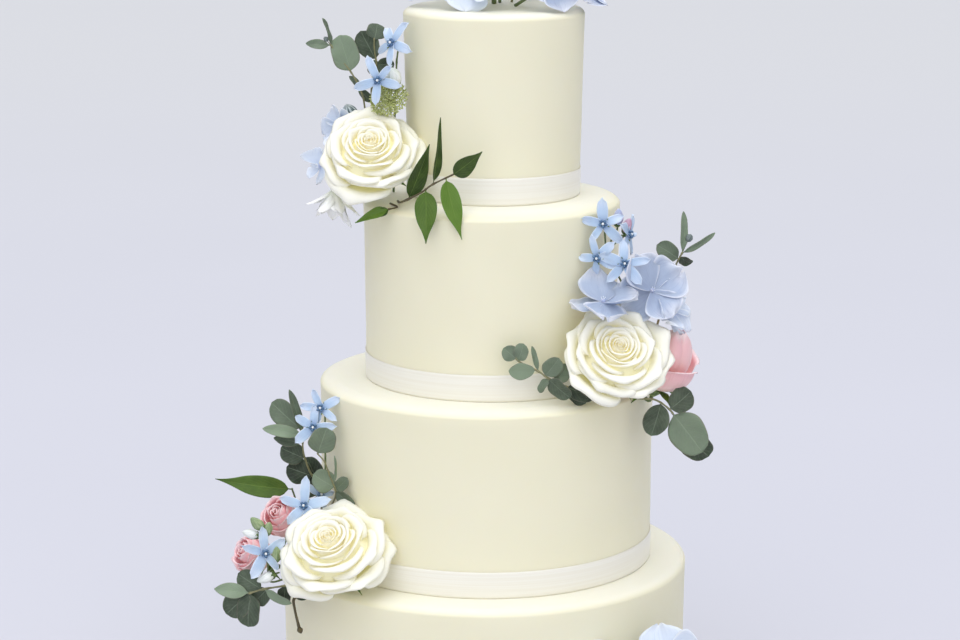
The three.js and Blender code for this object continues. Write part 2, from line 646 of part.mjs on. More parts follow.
cluster(POINT_D, [
  ['rose_d', 'rose', rose([6, -20, 40], [18, 40, 20], [2, 6, 0.8], 5.3)],
  ['pink_flower_d', 'pink', pinkFlower([46, 6, 32], [66, 40, 0], [22, 13, 0.8], 35)],
  ['hydrangea_d_left', 'hydrangea', spray([[0, 18, 1], [0, 20, 54], [-4, 14, 80]], 1.2, [
    floret(0.98, [2, -12, 89.5], [0, 30, 10], 44, 4, 2),
    floret(0.85, [-42, -18, 88], [-14, 40, 40], 34, 3, 2),
  ])],
  ['hydrangea_d_right', 'hydrangea', spray([[16, 22, 1], [22, 20, 48], [30, 10, 62]], 1.2, [
    floret(0.98, [36, 0, 73], [26, 20, 30], 38, 4, 2),
    floret(0.8, [52, 16, 66], [75, 12, 0], 32, 3, 2),
  ])],
  ['eucalyptus_d_left', 'eucalyptus', sprig(
    [[-4, -14, 1.5], [-16, -26, 2.5], [-30, -36, 6], [-46, -44, 10], [-60, -50, 17]], 0.8,
    [[0.98, 150, 20, 19, 10, 10], [0.85, 60, 19, 18, -10, 20], [0.7, 186, 17, 15, 24, 30],
      [0.55, 100, 18, 17, -5, 15]],
  )],
  ['eucalyptus_d_right', 'eucalyptus', sprig(
    [[20, -6, 1.5], [32, -12, 2.5], [46, -16, 6], [60, -20, 9], [72, -24, 15]], 0.8,
    [[0.98, 30, 20, 19, 10, -10], [0.82, 110, 19, 18, -10, 20], [0.6, 8, 17, 15, 34, 20]],
  )],
]);

cluster(POINT_T, [
  ['rose_t', 'rose', rose([2, -10, 48], [6, 50, 0], [0, 12, 0.5], 1.1)],
  ['hydrangea_t_left', 'hydrangea', spray([[-10, -2, 0.5], [-18, -6, 8], [-28, -12, 10]], 1.2, [
    floret(0.6, [-17, -31, 18], [-24, 24, 0], 40),
    floret(0.98, [-50, -4, 22], [-75, 30, 20], 40),
  ])],
  ['hydrangea_t_right', 'hydrangea', spray([[14, -4, 0.5], [26, -8, 8], [38, -10, 10]], 1.2, [
    floret(0.8, [39, -30, 18], [20, 30, 10], 42),
    floret(0.98, [63, -4, 16], [62, 26, 30], 42),
  ])],
  ['hydrangea_t_back', 'hydrangea', spray([[4, 20, 0.5], [4, 28, 12], [2, 34, 18]], 1.2, [
    floret(0.98, [26, 38, 26], [155, 24, 0], 42),
    floret(0.9, [-20, 38, 26], [205, 26, 30], 42),
  ])],
  ['star_spray_t', 'star', spray([[-8, 14, 0.5], [-20, 20, 40], [-32, 18, 60]], 0.9, [
    star(0.98, [-30, 8, 70], [-20, 30, 20]),
    star(0.55, [-46, 6, 55], [-45, 20, 0]),
  ])],
  ['eucalyptus_t_left', 'eucalyptus', sprig(
    [[-8, 22, 0.5], [-22, 24, 30], [-40, 22, 50], [-54, 20, 62]], 0.8,
    [[0.98, 140, 19, 18, 0, 10], [0.82, 205, 19, 18, 10, 20], [0.72, 80, 18, 17, -14, -15]],
  )],
  ['eucalyptus_t_right', 'eucalyptus', sprig(
    [[12, 20, 0.5], [22, 20, 34], [38, 20, 52], [50, 18, 66]], 0.8,
    [[0.98, 50, 19, 18, 0, 10], [0.82, -20, 19, 18, 10, 20], [0.72, 105, 18, 17, -10, -15]],
  )],
]);

export default group;
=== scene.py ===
"""A four-tier wedding cake with satin ribbons and five clusters of fresh flowers, over its CAD frame."""
import math

import bpy
import numpy as np
from mathutils import Matrix, Vector


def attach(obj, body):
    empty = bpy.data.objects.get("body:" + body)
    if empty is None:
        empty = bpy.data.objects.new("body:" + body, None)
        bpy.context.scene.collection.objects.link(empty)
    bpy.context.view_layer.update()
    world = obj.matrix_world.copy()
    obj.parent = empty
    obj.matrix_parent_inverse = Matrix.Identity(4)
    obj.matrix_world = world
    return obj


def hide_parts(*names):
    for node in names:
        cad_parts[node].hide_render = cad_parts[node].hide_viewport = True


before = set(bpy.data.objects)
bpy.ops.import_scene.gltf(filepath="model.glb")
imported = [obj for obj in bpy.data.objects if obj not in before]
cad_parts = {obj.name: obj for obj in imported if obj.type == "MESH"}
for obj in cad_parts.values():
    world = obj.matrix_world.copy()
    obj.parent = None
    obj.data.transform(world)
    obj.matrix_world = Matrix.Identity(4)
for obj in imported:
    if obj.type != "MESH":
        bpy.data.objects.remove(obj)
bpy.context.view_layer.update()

MM = 0.001

# Driving dimensions of the cake, in millimetres, as in the solids.
TIER_PITCH = 127.5
# Each tier: radius half way up, shift to the right, lean of its wall, rounding of its edge across and down.
TIERS = {
    "foot": (140.7, 0.0, 0.8, 9.0, 5.0),
    "third": (115.4, 1.0, 0.4, 12.0, 5.0),
    "second": (87.2, 3.9, 1.0, 20.0, 6.5),
    "top": (60.2, 5.4, 1.5, 8.0, 5.0),
}
RIBBON_HEIGHT = 19.0
CONTACT = 0.06
# The widths that the tables of petals are written for, and the turn from one petal or seed to the next.
ROSE_WIDTH, PINK_WIDTH, GOLDEN_ANGLE = 77, 35, 137.5


# ---------------------------------------------------------------- materials

def linear(*rgb):
    """An sRGB colour of 0 to 255 as a linear node colour."""
    shares = (value / 255 for value in rgb)
    return (*(c / 12.92 if c <= 0.04045 else ((c + 0.055) / 1.055) ** 2.4 for c in shares), 1.0)


class Look:
    """A Principled material, built node by node. A colour is a link or an sRGB triple of 0 to 255."""

    def __init__(self, name, roughness, **sockets):
        self.material = bpy.data.materials.new(name)
        self.material.use_nodes = True
        self.nodes = self.material.node_tree.nodes
        self.links = self.material.node_tree.links
        self.shader = next(n for n in self.nodes if n.type == "BSDF_PRINCIPLED")
        self.shader.inputs["Roughness"].default_value = roughness
        for socket, value in sockets.items():
            self.shader.inputs[socket.replace("_", " ")].default_value = value

    def new(self, kind, **settings):
        node = self.nodes.new(kind)
        for key, value in settings.items():
            setattr(node, key, value)
        return node

    def feed(self, socket, value):
        if isinstance(value, bpy.types.NodeSocket):
            self.links.new(value, socket)
        else:
            socket.default_value = linear(*value) if isinstance(value, tuple) else value

    def feed_all(self, node, *values, **named):
        """Sets the first inputs of a node, and those that go by a name, and gives its first output."""
        for socket, value in (*zip(node.inputs, values), *((node.inputs[key], named[key]) for key in named)):
            self.feed(socket, value)
        return node.outputs[0]

    def value(self, name):
        return self.new("ShaderNodeAttribute", attribute_name=name).outputs["Fac"]

    def place(self):
        return self.new("ShaderNodeTexCoord").outputs["Object"]

    def parts(self, vector):
        """The X, Y and Z of a vector."""
        node = self.new("ShaderNodeSeparateXYZ")
        self.feed(node.inputs[0], vector)
        return node.outputs

    def math(self, operation, a, b=0.0):
        return self.feed_all(self.new("ShaderNodeMath", operation=operation), a, b)

    def times(self, a, b):
        return self.math("MULTIPLY", a, b)

    def plus(self, a, b):
        return self.math("ADD", a, b)

    def less(self, a, b):
        return self.math("SUBTRACT", a, b)

    def size(self, a):
        return self.math("ABSOLUTE", a)

    def span(self, value, low, high, out_low=0.0, out_high=1.0):
        node = self.new("ShaderNodeMapRange", interpolation_type="SMOOTHSTEP")
        return self.feed_all(node, value, low, high, out_low, out_high)

    def join(self, x, y, z):
        return self.feed_all(self.new("ShaderNodeCombineXYZ"), x, y, z)

    def noise(self, vector, scale, detail=3.0, roughness=0.5):
        node = self.new("ShaderNodeTexNoise")
        self.feed_all(node, Vector=vector, Scale=scale, Detail=detail, Roughness=roughness)
        return node.outputs["Fac"]

    def mix(self, factor, a, b):
        node = self.new("ShaderNodeMix", data_type="RGBA")
        for index, value in ((0, factor), (6, a), (7, b)):
            self.feed(node.inputs[index], value)
        return node.outputs[2]

    def colour(self, value):
        self.feed(self.shader.inputs["Base Color"], value)

    def rough(self, pattern, low, high):
        self.feed(self.shader.inputs["Roughness"], self.span(pattern, 0.3, 0.7, low, high))

    def bump(self, height, distance, strength):
        node = self.new("ShaderNodeBump")
        normal = self.feed_all(node, Height=height, Distance=distance, Strength=strength)
        self.feed(self.shader.inputs["Normal"], normal)


def soft(weight, radius, *share):
    """Settings for light that passes in: how much, how far in mm, and the shares of red, green and blue."""
    return {"Subsurface_Weight": weight, "Subsurface_Radius": share, "Subsurface_Scale": radius * MM}


def strands(look, fine=26.0, stretch=2.2, shuffle=37.0, detail=4.0):
    """Fine lines from foot to tip, such as the veins of a petal, different on each."""
    factors = {"across": fine, "along": stretch, "tone": shuffle}
    vector = look.join(*(look.times(look.value(name), factor) for name, factor in factors.items()))
    return look.noise(vector, 1.0, detail, 0.6)


def icing():
    look = Look("ivory_icing", 0.5, **soft(0.18, 4.0, 1.0, 0.8, 0.5))
    place = look.place()
    broad = look.noise(place, 11.0, 2.0)
    grain = look.noise(place, 900.0, 4.0, 0.7)
    dimples = look.noise(place, 130.0, 3.0, 0.55)
    tint = look.mix(look.span(broad, 0.3, 0.7), (237, 232, 201), (239, 234, 204))
    # Painted highlight: the flat top of each tier is painted whiter than its wall, for the stronger light
    # from above.
    ledge_at = 0.016
    level = look.math("MODULO", look.plus(look.parts(place)[2], ledge_at), TIER_PITCH * MM)
    below = look.span(level, ledge_at - 0.004, ledge_at - 0.0005)
    ledge_highlight = look.times(below, look.span(level, ledge_at + 0.001, ledge_at + 0.002, 1, 0))
    tint = look.mix(ledge_highlight, tint, (240, 237, 218))
    look.colour(look.mix(look.span(grain, 0.55, 0.75, 0.0, 0.2), tint, (242, 237, 212)))
    look.rough(dimples, 0.44, 0.58)
    look.bump(look.plus(look.times(grain, 0.16), look.times(dimples, 0.4)), 0.00016, 0.5)
    return look.material


def satin():
    look = Look("ivory_satin", 0.3, Sheen_Weight=0.2, Sheen_Roughness=0.35)
    x, y, z = look.parts(look.place())
    thread = 0.0006
    weft = look.math("SINE", look.times(z, 2 * math.pi / thread))
    streak = look.noise(look.join(look.times(x, 9.0), look.times(y, 9.0), look.times(z, 900.0)), 1.0, 2.0)
    selvedge = look.span(look.size(look.less(look.value("along"), 0.5)), 0.465, 0.48)
    body = look.mix(look.span(streak, 0.35, 0.65), (238, 234, 219), (241, 238, 225))
    look.colour(look.mix(selvedge, body, (236, 231, 214)))
    look.rough(streak, 0.28, 0.36)
    look.bump(look.plus(look.times(weft, 0.2), look.times(selvedge, 0.5)), 0.00008, 0.4)
    return look.material


# Painted light: a faint glow of the cream petals, standing in for the light that thin petals pass from one to
# the next, which closed sheets can't carry.
PAINTED_PETAL_GLOW = 0.03


def rose_petal_look():
    # The petals glow faintly with painted light, in place of light passed through them.
    look = Look("cream_rose", 0.55, Sheen_Weight=0.1, Sheen_Roughness=0.5, Emission_Strength=PAINTED_PETAL_GLOW,
                Emission_Color=linear(253, 250, 216), **soft(0.15, 3.0, 1.0, 0.92, 0.7))
    along, depth = look.value("along"), look.value("depth")
    lines = strands(look)
    mottled = look.noise(look.place(), 55.0)
    heart = look.mix(look.span(depth, 0.0, 0.4), (252, 245, 216), (248, 244, 223))
    outer = look.mix(look.span(depth, 0.4, 0.9), heart, (245, 243, 225))
    foot = look.mix(look.span(depth, 0.2, 0.8), (251, 247, 207), (248, 246, 210))
    body = look.mix(look.span(along, 0.3, 0.88), foot, outer)
    lip = look.mix(look.span(along, 0.8, 0.97, 0.0, 0.8), body, (245, 243, 228))
    tinted = look.mix(look.span(lines, 0.4, 0.75, 0.0, 0.14), lip, (246, 242, 212))
    look.colour(look.mix(look.span(mottled, 0.55, 0.8, 0.0, 0.1), tinted, (247, 243, 218)))
    look.rough(lines, 0.46, 0.6)
    look.bump(look.plus(look.times(lines, 0.6), look.times(mottled, 0.5)), 0.0003, 0.5)
    return look.material


def tinted_petal(name, foot, middle, rim, dark, edge, fine, low, high, roughness=0.55, **sockets):
    """A petal that runs from its foot's colour through its middle to its rim, with fine darker veins."""
    look = Look(name, roughness, **{**soft(0.25, 2.0, 0.8, 0.8, 1.0), **sockets})
    along = look.value("along")
    lines = strands(look, fine)
    cloudy = look.noise(look.place(), 90.0)
    drift = look.plus(along, look.times(look.less(cloudy, 0.5), 0.35))
    half_way = (low + high) / 2
    body = look.mix(look.span(drift, low, half_way), foot, middle)
    body = look.mix(look.span(drift, half_way, high), body, rim)
    body = look.mix(look.span(look.value("tone"), 0.0, 1.0, 0.3, 0.0), body, middle)
    if edge:
        beside = look.size(look.value("across"))
        margin = look.math("MAXIMUM", look.span(along, 0.86, 1.0), look.span(beside, 0.8, 1.0))
        body = look.mix(look.times(margin, look.span(cloudy, 0.3, 0.6, 0.35, 0.95)), body, edge)
    look.colour(look.mix(look.span(lines, 0.5, 0.72, 0.0, 0.38), body, dark))
    look.rough(lines, roughness - 0.06, roughness + 0.08)
    look.bump(look.plus(lines, look.times(cloudy, 0.6)), 0.0003, 0.6)
    return look.material


def leaf_look(name, dark, light, rib, back, roughness, gloss, side_veins, vein_tint, rim=None):
    """A leaf with a midrib and side veins, paler behind. tone runs from the dark leaves to the pale ones,
    partly painted shade and light: dark for leaves that lie in shade, pale for lit ones.
    """
    look = Look(name, roughness, Specular_IOR_Level=gloss, **soft(0.12, 1.2, 0.5, 1.0, 0.3))
    along, tone, side = (look.value(label) for label in ("along", "tone", "side"))
    out = look.size(look.value("across"))
    mottled = look.noise(look.place(), 160.0, 4.0, 0.6)
    cloudy = look.noise(look.place(), 45.0, 2.0)
    # Partly painted shade: a low tone darkens a leaf that lies in shade, and a high one paints it pale where
    # lit.
    body = look.mix(tone, dark, light)
    body = look.mix(look.span(mottled, 0.3, 0.75, 0.0, 0.18), body, rib)
    body = look.mix(look.span(cloudy, 0.5, 0.75, 0.0, 0.16), body, light)
    slant = look.less(look.times(along, side_veins), look.times(out, side_veins * 0.42))
    wave = look.size(look.math("SINE", look.times(slant, math.pi)))
    branch = look.span(wave, 0.0, 0.2, 1.0, 0.0)
    midrib = look.span(out, 0.0, 0.06, 1.0, 0.0)
    body = look.mix(look.times(branch, vein_tint * 0.5), body, rib)
    body = look.mix(look.times(midrib, vein_tint), body, rib)
    if rim:
        body = look.mix(look.span(out, 0.9, 1.0, 0.0, 0.6), body, rim)
    look.colour(look.mix(look.times(side, 0.55), body, back))
    look.rough(mottled, roughness - 0.05, roughness + 0.1)
    look.bump(look.plus(look.times(look.plus(branch, midrib), -0.7), look.times(mottled, 0.5)), 0.0003, 0.6)
    return look.material


def plain_look(name, low, high, roughness=0.5, scale=None, **sockets):
    """A stem or another small surface, mottled between two tints, lengthwise where it has no scale."""
    look = Look(name, roughness, **sockets)
    if scale:
        pattern = look.noise(look.place(), scale, 3.0, 0.6)
    else:
        pattern = strands(look, 9.0, 3.0, 31.0, 3.0)
    look.colour(look.mix(look.span(pattern, 0.35, 0.68), low, high))
    look.rough(pattern, roughness - 0.06, roughness + 0.1)
    look.bump(pattern, 0.0003, 0.7)
    return look.material


def striped_look():
    look = Look("striped_bud", 0.5)
    stripes = look.math("SINE", look.times(look.value("across"), 9 * math.pi))
    body = look.mix(look.span(stripes, -0.2, 0.5), (198, 210, 214), (74, 98, 106))
    look.colour(look.mix(look.span(look.value("along"), 0.55, 1.0, 0.0, 0.7), body, (206, 214, 208)))
    look.bump(stripes, 0.0004, 0.7)
    return look.material


LOOKS = {
    "icing": icing(),
    "satin": satin(),
    "rose": rose_petal_look(),
    "pink": tinted_petal("pink_petal", (250, 220, 202), (247, 203, 200), (243, 187, 189), (230, 167, 173),
                         (250, 224, 222), 20.0, 0.05, 0.95, 0.46, Sheen_Weight=0.15),
    "hydrangea": tinted_petal("blue_petal", (156, 169, 192), (168, 181, 202), (204, 209, 220),
                              (138, 150, 178), (234, 237, 246), 16.0, 0.15, 0.95),
    "pale_hydrangea": tinted_petal("pale_blue_petal", (192, 206, 228), (210, 221, 236), (222, 230, 241),
                                   (182, 198, 224), (236, 241, 247), 16.0, 0.15, 0.95),
    "star": tinted_petal("sky_petal", (160, 184, 216), (182, 204, 229), (202, 216, 235), (146, 170, 206),
                         (222, 234, 248), 9.0, 0.0, 0.8),
    "white": tinted_petal("white_petal", (222, 228, 208), (242, 243, 238), (250, 250, 248), (220, 223, 220),
                          None, 12.0, 0.1, 0.75, 0.5),
    "star_ring": plain_look("dark_blue_ring", (64, 96, 134), (104, 138, 168), 0.42, 500.0),
    "white_dot": plain_look("white_stigma", (236, 240, 240), (250, 252, 252), 0.4, 500.0),
    "umbel": plain_look("green_flower_head", (158, 169, 90), (218, 223, 152), 0.6, 700.0,
                        **soft(0.3, 1.0, 1.0, 0.9, 0.8)),
    "calyx": plain_look("green_calyx", (72, 98, 52), (132, 152, 84), 0.5, 260.0),
    "dark": plain_look("dark_stamen", (44, 52, 44), (84, 88, 66), 0.5, 400.0),
    "eucalyptus": leaf_look("eucalyptus_leaf", (44, 54, 40), (138, 154, 128), (150, 165, 140),
                            (112, 125, 108), 0.56, 0.32, 7.0, 0.45, (134, 128, 112)),
    "foliage": leaf_look("glossy_leaf", (33, 50, 13), (92, 126, 38), (120, 148, 62), (104, 132, 62),
                         0.4, 0.32, 9.0, 0.5),
    "green_stem": plain_look("green_stem", (84, 104, 60), (128, 142, 92), 0.48),
    "red_stem": plain_look("red_stem", (138, 62, 92), (170, 96, 118)),
    "grey_stem": plain_look("grey_stem", (112, 112, 80), (160, 156, 112), 0.52),
    "brown_stem": plain_look("brown_stem", (70, 60, 42), (104, 94, 58)),
    "blue_bud": plain_look("blue_bud", (160, 178, 214), (206, 204, 222)),
    "pink_bud": plain_look("pink_bud", (184, 138, 160), (214, 180, 198)),
    "white_bud": plain_look("white_bud", (218, 224, 216), (246, 247, 244)),
    "green_bud": plain_look("green_bud", (118, 142, 96), (170, 184, 140)),
    "grey_bud": plain_look("grey_bud", (88, 100, 98), (130, 140, 134), 0.55),
    "striped": striped_look(),
}


# ---------------------------------------------------------------- meshes

def turn_about(axis, angle):
    c, s = math.cos(math.radians(angle)), math.sin(math.radians(angle))
    m = np.eye(4)
    i, j = {"x": (1, 2), "y": (2, 0), "z": (0, 1)}[axis]
    m[i, i], m[i, j], m[j, i], m[j, j] = c, -s, s, c
    return m


def shift(x, y, z):
    m = np.eye(4)
    m[:3, 3] = (x, y, z)
    return m


def axes(x, y, z, at):
    m = np.eye(4)
    m[:3] = np.column_stack((x, y, z, at))
    return m


def facing(at, azimuth, elevation, roll=0.0):
    """azimuth 0 is the front and 90 the right, elevation is up from level, roll turns about the way ahead."""
    a, e = math.radians(azimuth), math.radians(elevation)
    ahead = np.array((math.sin(a) * math.cos(e), -math.cos(a) * math.cos(e), math.sin(e)))
    right = np.array((math.cos(a), math.sin(a), 0.0))
    return axes(right, np.cross(ahead, right), ahead, at) @ turn_about("z", roll)


def leaf_matrix(base, heading, forward, turn):
    """heading 0 is to the right and 90 up, forward leans to the front, turn rolls about the leaf's length."""
    h, f = math.radians(heading), math.radians(forward)
    along = np.array((math.cos(h) * math.cos(f), -math.sin(f), math.sin(h) * math.cos(f)))
    face = np.array((0.0, -1.0, 0.0)) + along * along[1]
    face /= np.linalg.norm(face)
    return axes(np.cross(along, face), along, face, base) @ turn_about("y", turn)


def point(matrix, x, y, z):
    return (matrix @ (x, y, z, 1))[:3]


def five(matrix, start, out, axis, tilt):
    """Five places round a flower's axis, each moved out from it and then tilted."""
    return [matrix @ turn_about("z", 72 * k + start) @ shift(*out) @ turn_about(axis, tilt) for k in range(5)]


def curve(points):
    """A smooth curve through the points, as a function of the share of the way along it."""
    p = np.asarray(points, float)
    p = np.vstack((2 * p[0] - p[1], p, 2 * p[-1] - p[-2]))
    last = len(p) - 4

    def at(share):
        t = min(max(share, 0.0), 1.0) * (last + 1)
        i = min(int(t), last)
        f = t - i
        a, b, c, d = p[i:i + 4]
        square, cube = 2 * a - 5 * b + 4 * c - d, 3 * b - a - 3 * c + d
        return 0.5 * (2 * b + (c - a) * f + square * f ** 2 + cube * f ** 3)
    return at


def eased(x, low, high):
    t = np.clip((x - low) / (high - low), 0, 1)
    return t * t * (3 - 2 * t)


def wall_faces(ids):
    """Four-sided faces between closed rings of points, one ring to a row of ids."""
    after = np.roll(ids, -1, 1)
    return np.stack((ids[:-1], after[:-1], after[1:], ids[1:]), -1).reshape(-1, 4)


def capped(ids, first, last):
    """The faces of closed rings of points, with a fan at either end about the points first and last."""
    after = np.roll(ids, -1, 1)
    low = np.stack(np.broadcast_arrays(first, after[0], ids[0], first), -1)
    high = np.stack(np.broadcast_arrays(last, ids[-1], after[-1], last), -1)
    return np.concatenate((wall_faces(ids), low, high))


class Piece:
    """The mesh of one piece, gathered part by part in millimetres."""

    def __init__(self):
        self.points, self.faces, self.slots, self.values, self.looks = [], [], [], [], []
        self.count = 0

    def add(self, points, faces, look, matrix=None, along=0.0, across=0.0, tone=0.5, side=0.0, depth=0.0):
        if matrix is not None:
            points = points @ matrix[:3, :3].T + matrix[:3, 3]
        if look not in self.looks:
            self.looks.append(look)
        values = np.zeros((len(points), 5))
        for column, value in enumerate((along, across, tone, side, depth)):
            values[:, column] = value
        self.points.append(points)
        self.faces.append(faces + self.count)
        self.slots.append(np.full(len(faces), self.looks.index(look)))
        self.values.append(values)
        self.count += len(points)

    def sheet(self, at, across, along, thickness, look, matrix=None, tone=0.5, depth=0.0, rim=0.35):
        """A thin closed sheet: at(u, v) is its middle surface, u from -1 to 1 across, v from 0 to 1 along."""
        v, u = np.meshgrid(np.linspace(0, 1, along + 1), np.linspace(-1, 1, across + 1), indexing="ij")
        middle = np.stack(np.broadcast_arrays(*at(u, v)), axis=-1).astype(float)
        normal = np.cross(np.gradient(middle, axis=1), np.gradient(middle, axis=0))
        length = np.linalg.norm(normal, axis=-1, keepdims=True)
        normal = normal / np.where(length > 1e-9, length, 1)
        half = thickness / 2 * (rim + (1 - rim) * (1 - u ** 6) * (1 - v ** 8))[..., None]
        count = u.size
        ids = np.arange(count).reshape(u.shape)
        a, b, c, d = ids[:-1, :-1], ids[:-1, 1:], ids[1:, 1:], ids[1:, :-1]
        front = np.stack((a, b, c, d), -1).reshape(-1, 4)
        back = np.stack((a, d, c, b), -1).reshape(-1, 4) + count
        loop = np.concatenate((ids[0, :-1], ids[:-1, -1], ids[-1, :0:-1], ids[:0:-1, 0]))
        after = np.roll(loop, -1)
        edge = np.stack((after, loop, loop + count, after + count), -1)
        skins = np.stack((middle + normal * half, middle - normal * half)).reshape(-1, 3)
        self.add(skins, np.concatenate((front, back, edge)), look, matrix, np.tile(v.ravel(), 2),
                 np.tile(u.ravel(), 2), tone, np.repeat((0.0, 1.0), count), depth)

    def turned(self, profile, segments, look, matrix=None, shape=None, tone=0.5, depth=0.0):
        """A closed form turned about Z from (radius, height) points that start and end on the axis."""
        profile = np.asarray(profile, float)
        inner = profile[1:-1]
        radius, height = np.repeat(inner[:, :1], segments, 1), np.repeat(inner[:, 1:], segments, 1)
        turn = np.broadcast_to(np.arange(segments) * 2 * math.pi / segments, radius.shape)
        share = np.repeat(np.linspace(0, 1, len(profile))[1:-1, None], segments, 1)
        if shape:
            radius, height = shape(radius, height, turn, share)
        rings = np.stack((radius * np.cos(turn), radius * np.sin(turn), height), -1).reshape(-1, 3)
        points = np.vstack(((0, 0, profile[0, 1]), rings, (0, 0, profile[-1, 1])))
        ids = 1 + np.arange(len(rings)).reshape(-1, segments)
        along = np.concatenate(((0,), share.ravel(), (1,)))
        across = np.concatenate(((0,), np.abs((turn / math.pi) % 2 - 1).ravel(), (0,)))
        self.add(points, capped(ids, 0, len(points) - 1), look, matrix, along, across, tone, 0.0, depth)

    def tube(self, points, radius, look, sides=8, spacing=1.6, end=0.75, tone=0.5, swell=()):
        """A stem along a smooth curve, thinner towards its tip, swollen a little where leaves join it."""
        at = curve(points)
        rough = np.array([at(s) for s in np.linspace(0, 1, 40)])
        length = np.linalg.norm(np.diff(rough, axis=0), axis=1).sum()
        count = max(6, int(length / spacing))
        shares = np.linspace(0, 1, count + 1)
        path = np.array([at(s) for s in shares])
        ahead = np.gradient(path, axis=0)
        ahead /= np.linalg.norm(ahead, axis=1, keepdims=True)
        side = np.cross(ahead[0], (0.31, 0.92, 0.23))
        rings = []
        for i in range(count + 1):
            side = side - ahead[i] * side.dot(ahead[i])
            side /= np.linalg.norm(side)
            other = np.cross(ahead[i], side)
            here = radius * (1 + (end - 1) * shares[i])
            knots = sum(0.35 * math.exp(-((shares[i] - s) * length / 1.6) ** 2) for s in swell)
            here *= 1 + 0.05 * math.sin(7.0 * i + tone * 9) + knots
            for k in range(sides):
                a = 2 * math.pi * k / sides
                rings.append(path[i] + here * (math.cos(a) * side + math.sin(a) * other))
        tip = len(rings)
        faces = capped(np.arange(tip).reshape(-1, sides), tip, tip + 1)
        along = np.repeat(shares, sides) * length / 12
        across = np.tile(np.abs(np.linspace(-1, 1, sides, endpoint=False)), count + 1)
        self.add(np.vstack((rings, path[0], path[-1])), faces, look, None, np.concatenate((along, (0, 1))),
                 np.concatenate((across, (0, 0))), tone)

    def build(self, name, node, slot, origin):
        points = (np.concatenate(self.points) + np.asarray(origin)) * MM
        faces = [tuple(dict.fromkeys(face)) for face in np.concatenate(self.faces).tolist()]
        mesh = bpy.data.meshes.new(name)
        mesh.from_pydata(points.tolist(), [], faces)
        mesh.polygons.foreach_set("material_index", np.concatenate(self.slots))
        mesh.polygons.foreach_set("use_smooth", np.full(len(faces), True))
        values = np.concatenate(self.values).astype(np.float32)
        for column, label in enumerate(("along", "across", "tone", "side", "depth")):
            mesh.attributes.new(label, "FLOAT", "POINT").data.foreach_set("value", values[:, column].copy())
        for look in self.looks:
            mesh.materials.append(LOOKS[look])
        mesh.update()
        piece = bpy.data.objects.new(name, mesh)
        bpy.context.scene.collection.objects.link(piece)
        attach(piece, "root")
        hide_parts(node)


# ---------------------------------------------------------------- the cake

def tier(name, level):
    radius, along, lean, across, down = TIERS[name]
    foot = TIER_PITCH * level + (CONTACT if level else 0)
    top = TIER_PITCH * (level + 1)
    rim, shoulder = radius + lean - across, top - down
    around, rows, bends, rings = 210, 18, 14, 8
    base = [((radius - lean) * k / 3, foot) for k in (1, 2)]
    wall = [(radius - lean + 2 * lean * k / rows, foot + (shoulder - foot) * k / rows) for k in range(rows)]
    angles = [math.pi / 2 * k / bends for k in range(bends + 1)]
    edge = [(rim + across * math.cos(angle), shoulder + down * math.sin(angle)) for angle in angles]
    flat = [(rim * k / rings, top) for k in range(rings - 1, 0, -1)]

    def uneven(r, z, turn, share):
        """Icing smoothed by hand: broad shallow swells on the wall, an edge a little sharper in places."""
        height = (z - foot) / TIER_PITCH
        on_wall = eased(height, 0.15, 0.3) * (1 - eased(height, 0.93, 1.0)) * (r > radius - 12)
        swell = 0.22 * np.sin(3 * turn + level) + 0.16 * np.sin(7 * turn + 2.1 * level + 5 * height)
        swell = swell + 0.1 * np.sin(13 * turn + 9 * height) - 0.2
        lip = -0.28 * (0.5 + 0.5 * np.sin(5 * turn + 1.7 * level)) * eased(height, 0.93, 0.99)
        return r + on_wall * swell, z + lip * (r > radius - 0.8 * across)
    piece = Piece()
    piece.turned([(0, foot), *base, *wall, *edge, *flat, (0, top)], around, "icing", shape=uneven)
    piece.build("icing_" + name, "tier_" + name, "icing", (along, 0, 0))


def ribbon(name, level):
    radius, along, lean = TIERS[name][:3]
    wall = radius - lean
    rise = 2 * lean * RIBBON_HEIGHT / TIER_PITCH
    low = TIER_PITCH * level + 2 * CONTACT
    segments, rows = 200, 12
    turn, share = np.meshgrid(np.arange(segments) * 2 * math.pi / segments, np.linspace(0, 1, rows + 1))
    belly = 0.26 * np.sin(math.pi * share) + 0.05 * np.sin(11 * turn + level) + 0.04 * np.sin(23 * turn)
    drift = 0.25 * np.sin(2 * turn + 1.3 * level) * share
    z = low + (RIBBON_HEIGHT - 0.5) * share + drift
    outside, inside = wall + rise * share + 0.55 + belly, wall + rise * share + 0.2
    skins = [np.stack((r * np.cos(turn), r * np.sin(turn), z), -1).reshape(-1, 3) for r in (outside, inside)]
    ids = np.arange((rows + 1) * segments).reshape(rows + 1, segments)
    far = ids.size
    front = wall_faces(ids)
    back = front[:, (0, 3, 2, 1)] + far
    top = wall_faces(np.stack((ids[-1], ids[-1] + far)))
    bottom = wall_faces(np.stack((ids[0] + far, ids[0])))
    piece = Piece()
    piece.add(np.concatenate(skins), np.concatenate((front, back, top, bottom)), "satin",
              along=np.tile(share.ravel(), 2))

    def overlap(u, v):
        """The free end of the ribbon, lapped over its start just left of the back."""
        a = math.radians(97) + u * 8.8 / radius
        r = wall + rise * v + 1.1 + 0.2 * np.sin(math.pi * v)
        return r * np.cos(a), r * np.sin(a), low + 0.2 + (RIBBON_HEIGHT - 0.9) * v
    piece.sheet(overlap, 24, 10, 0.3, "satin", rim=0.8)
    piece.build("satin_" + name, "ribbon_" + name, "ribbon", (along, 0, 0))


# ---------------------------------------------------------------- roses and pink flowers

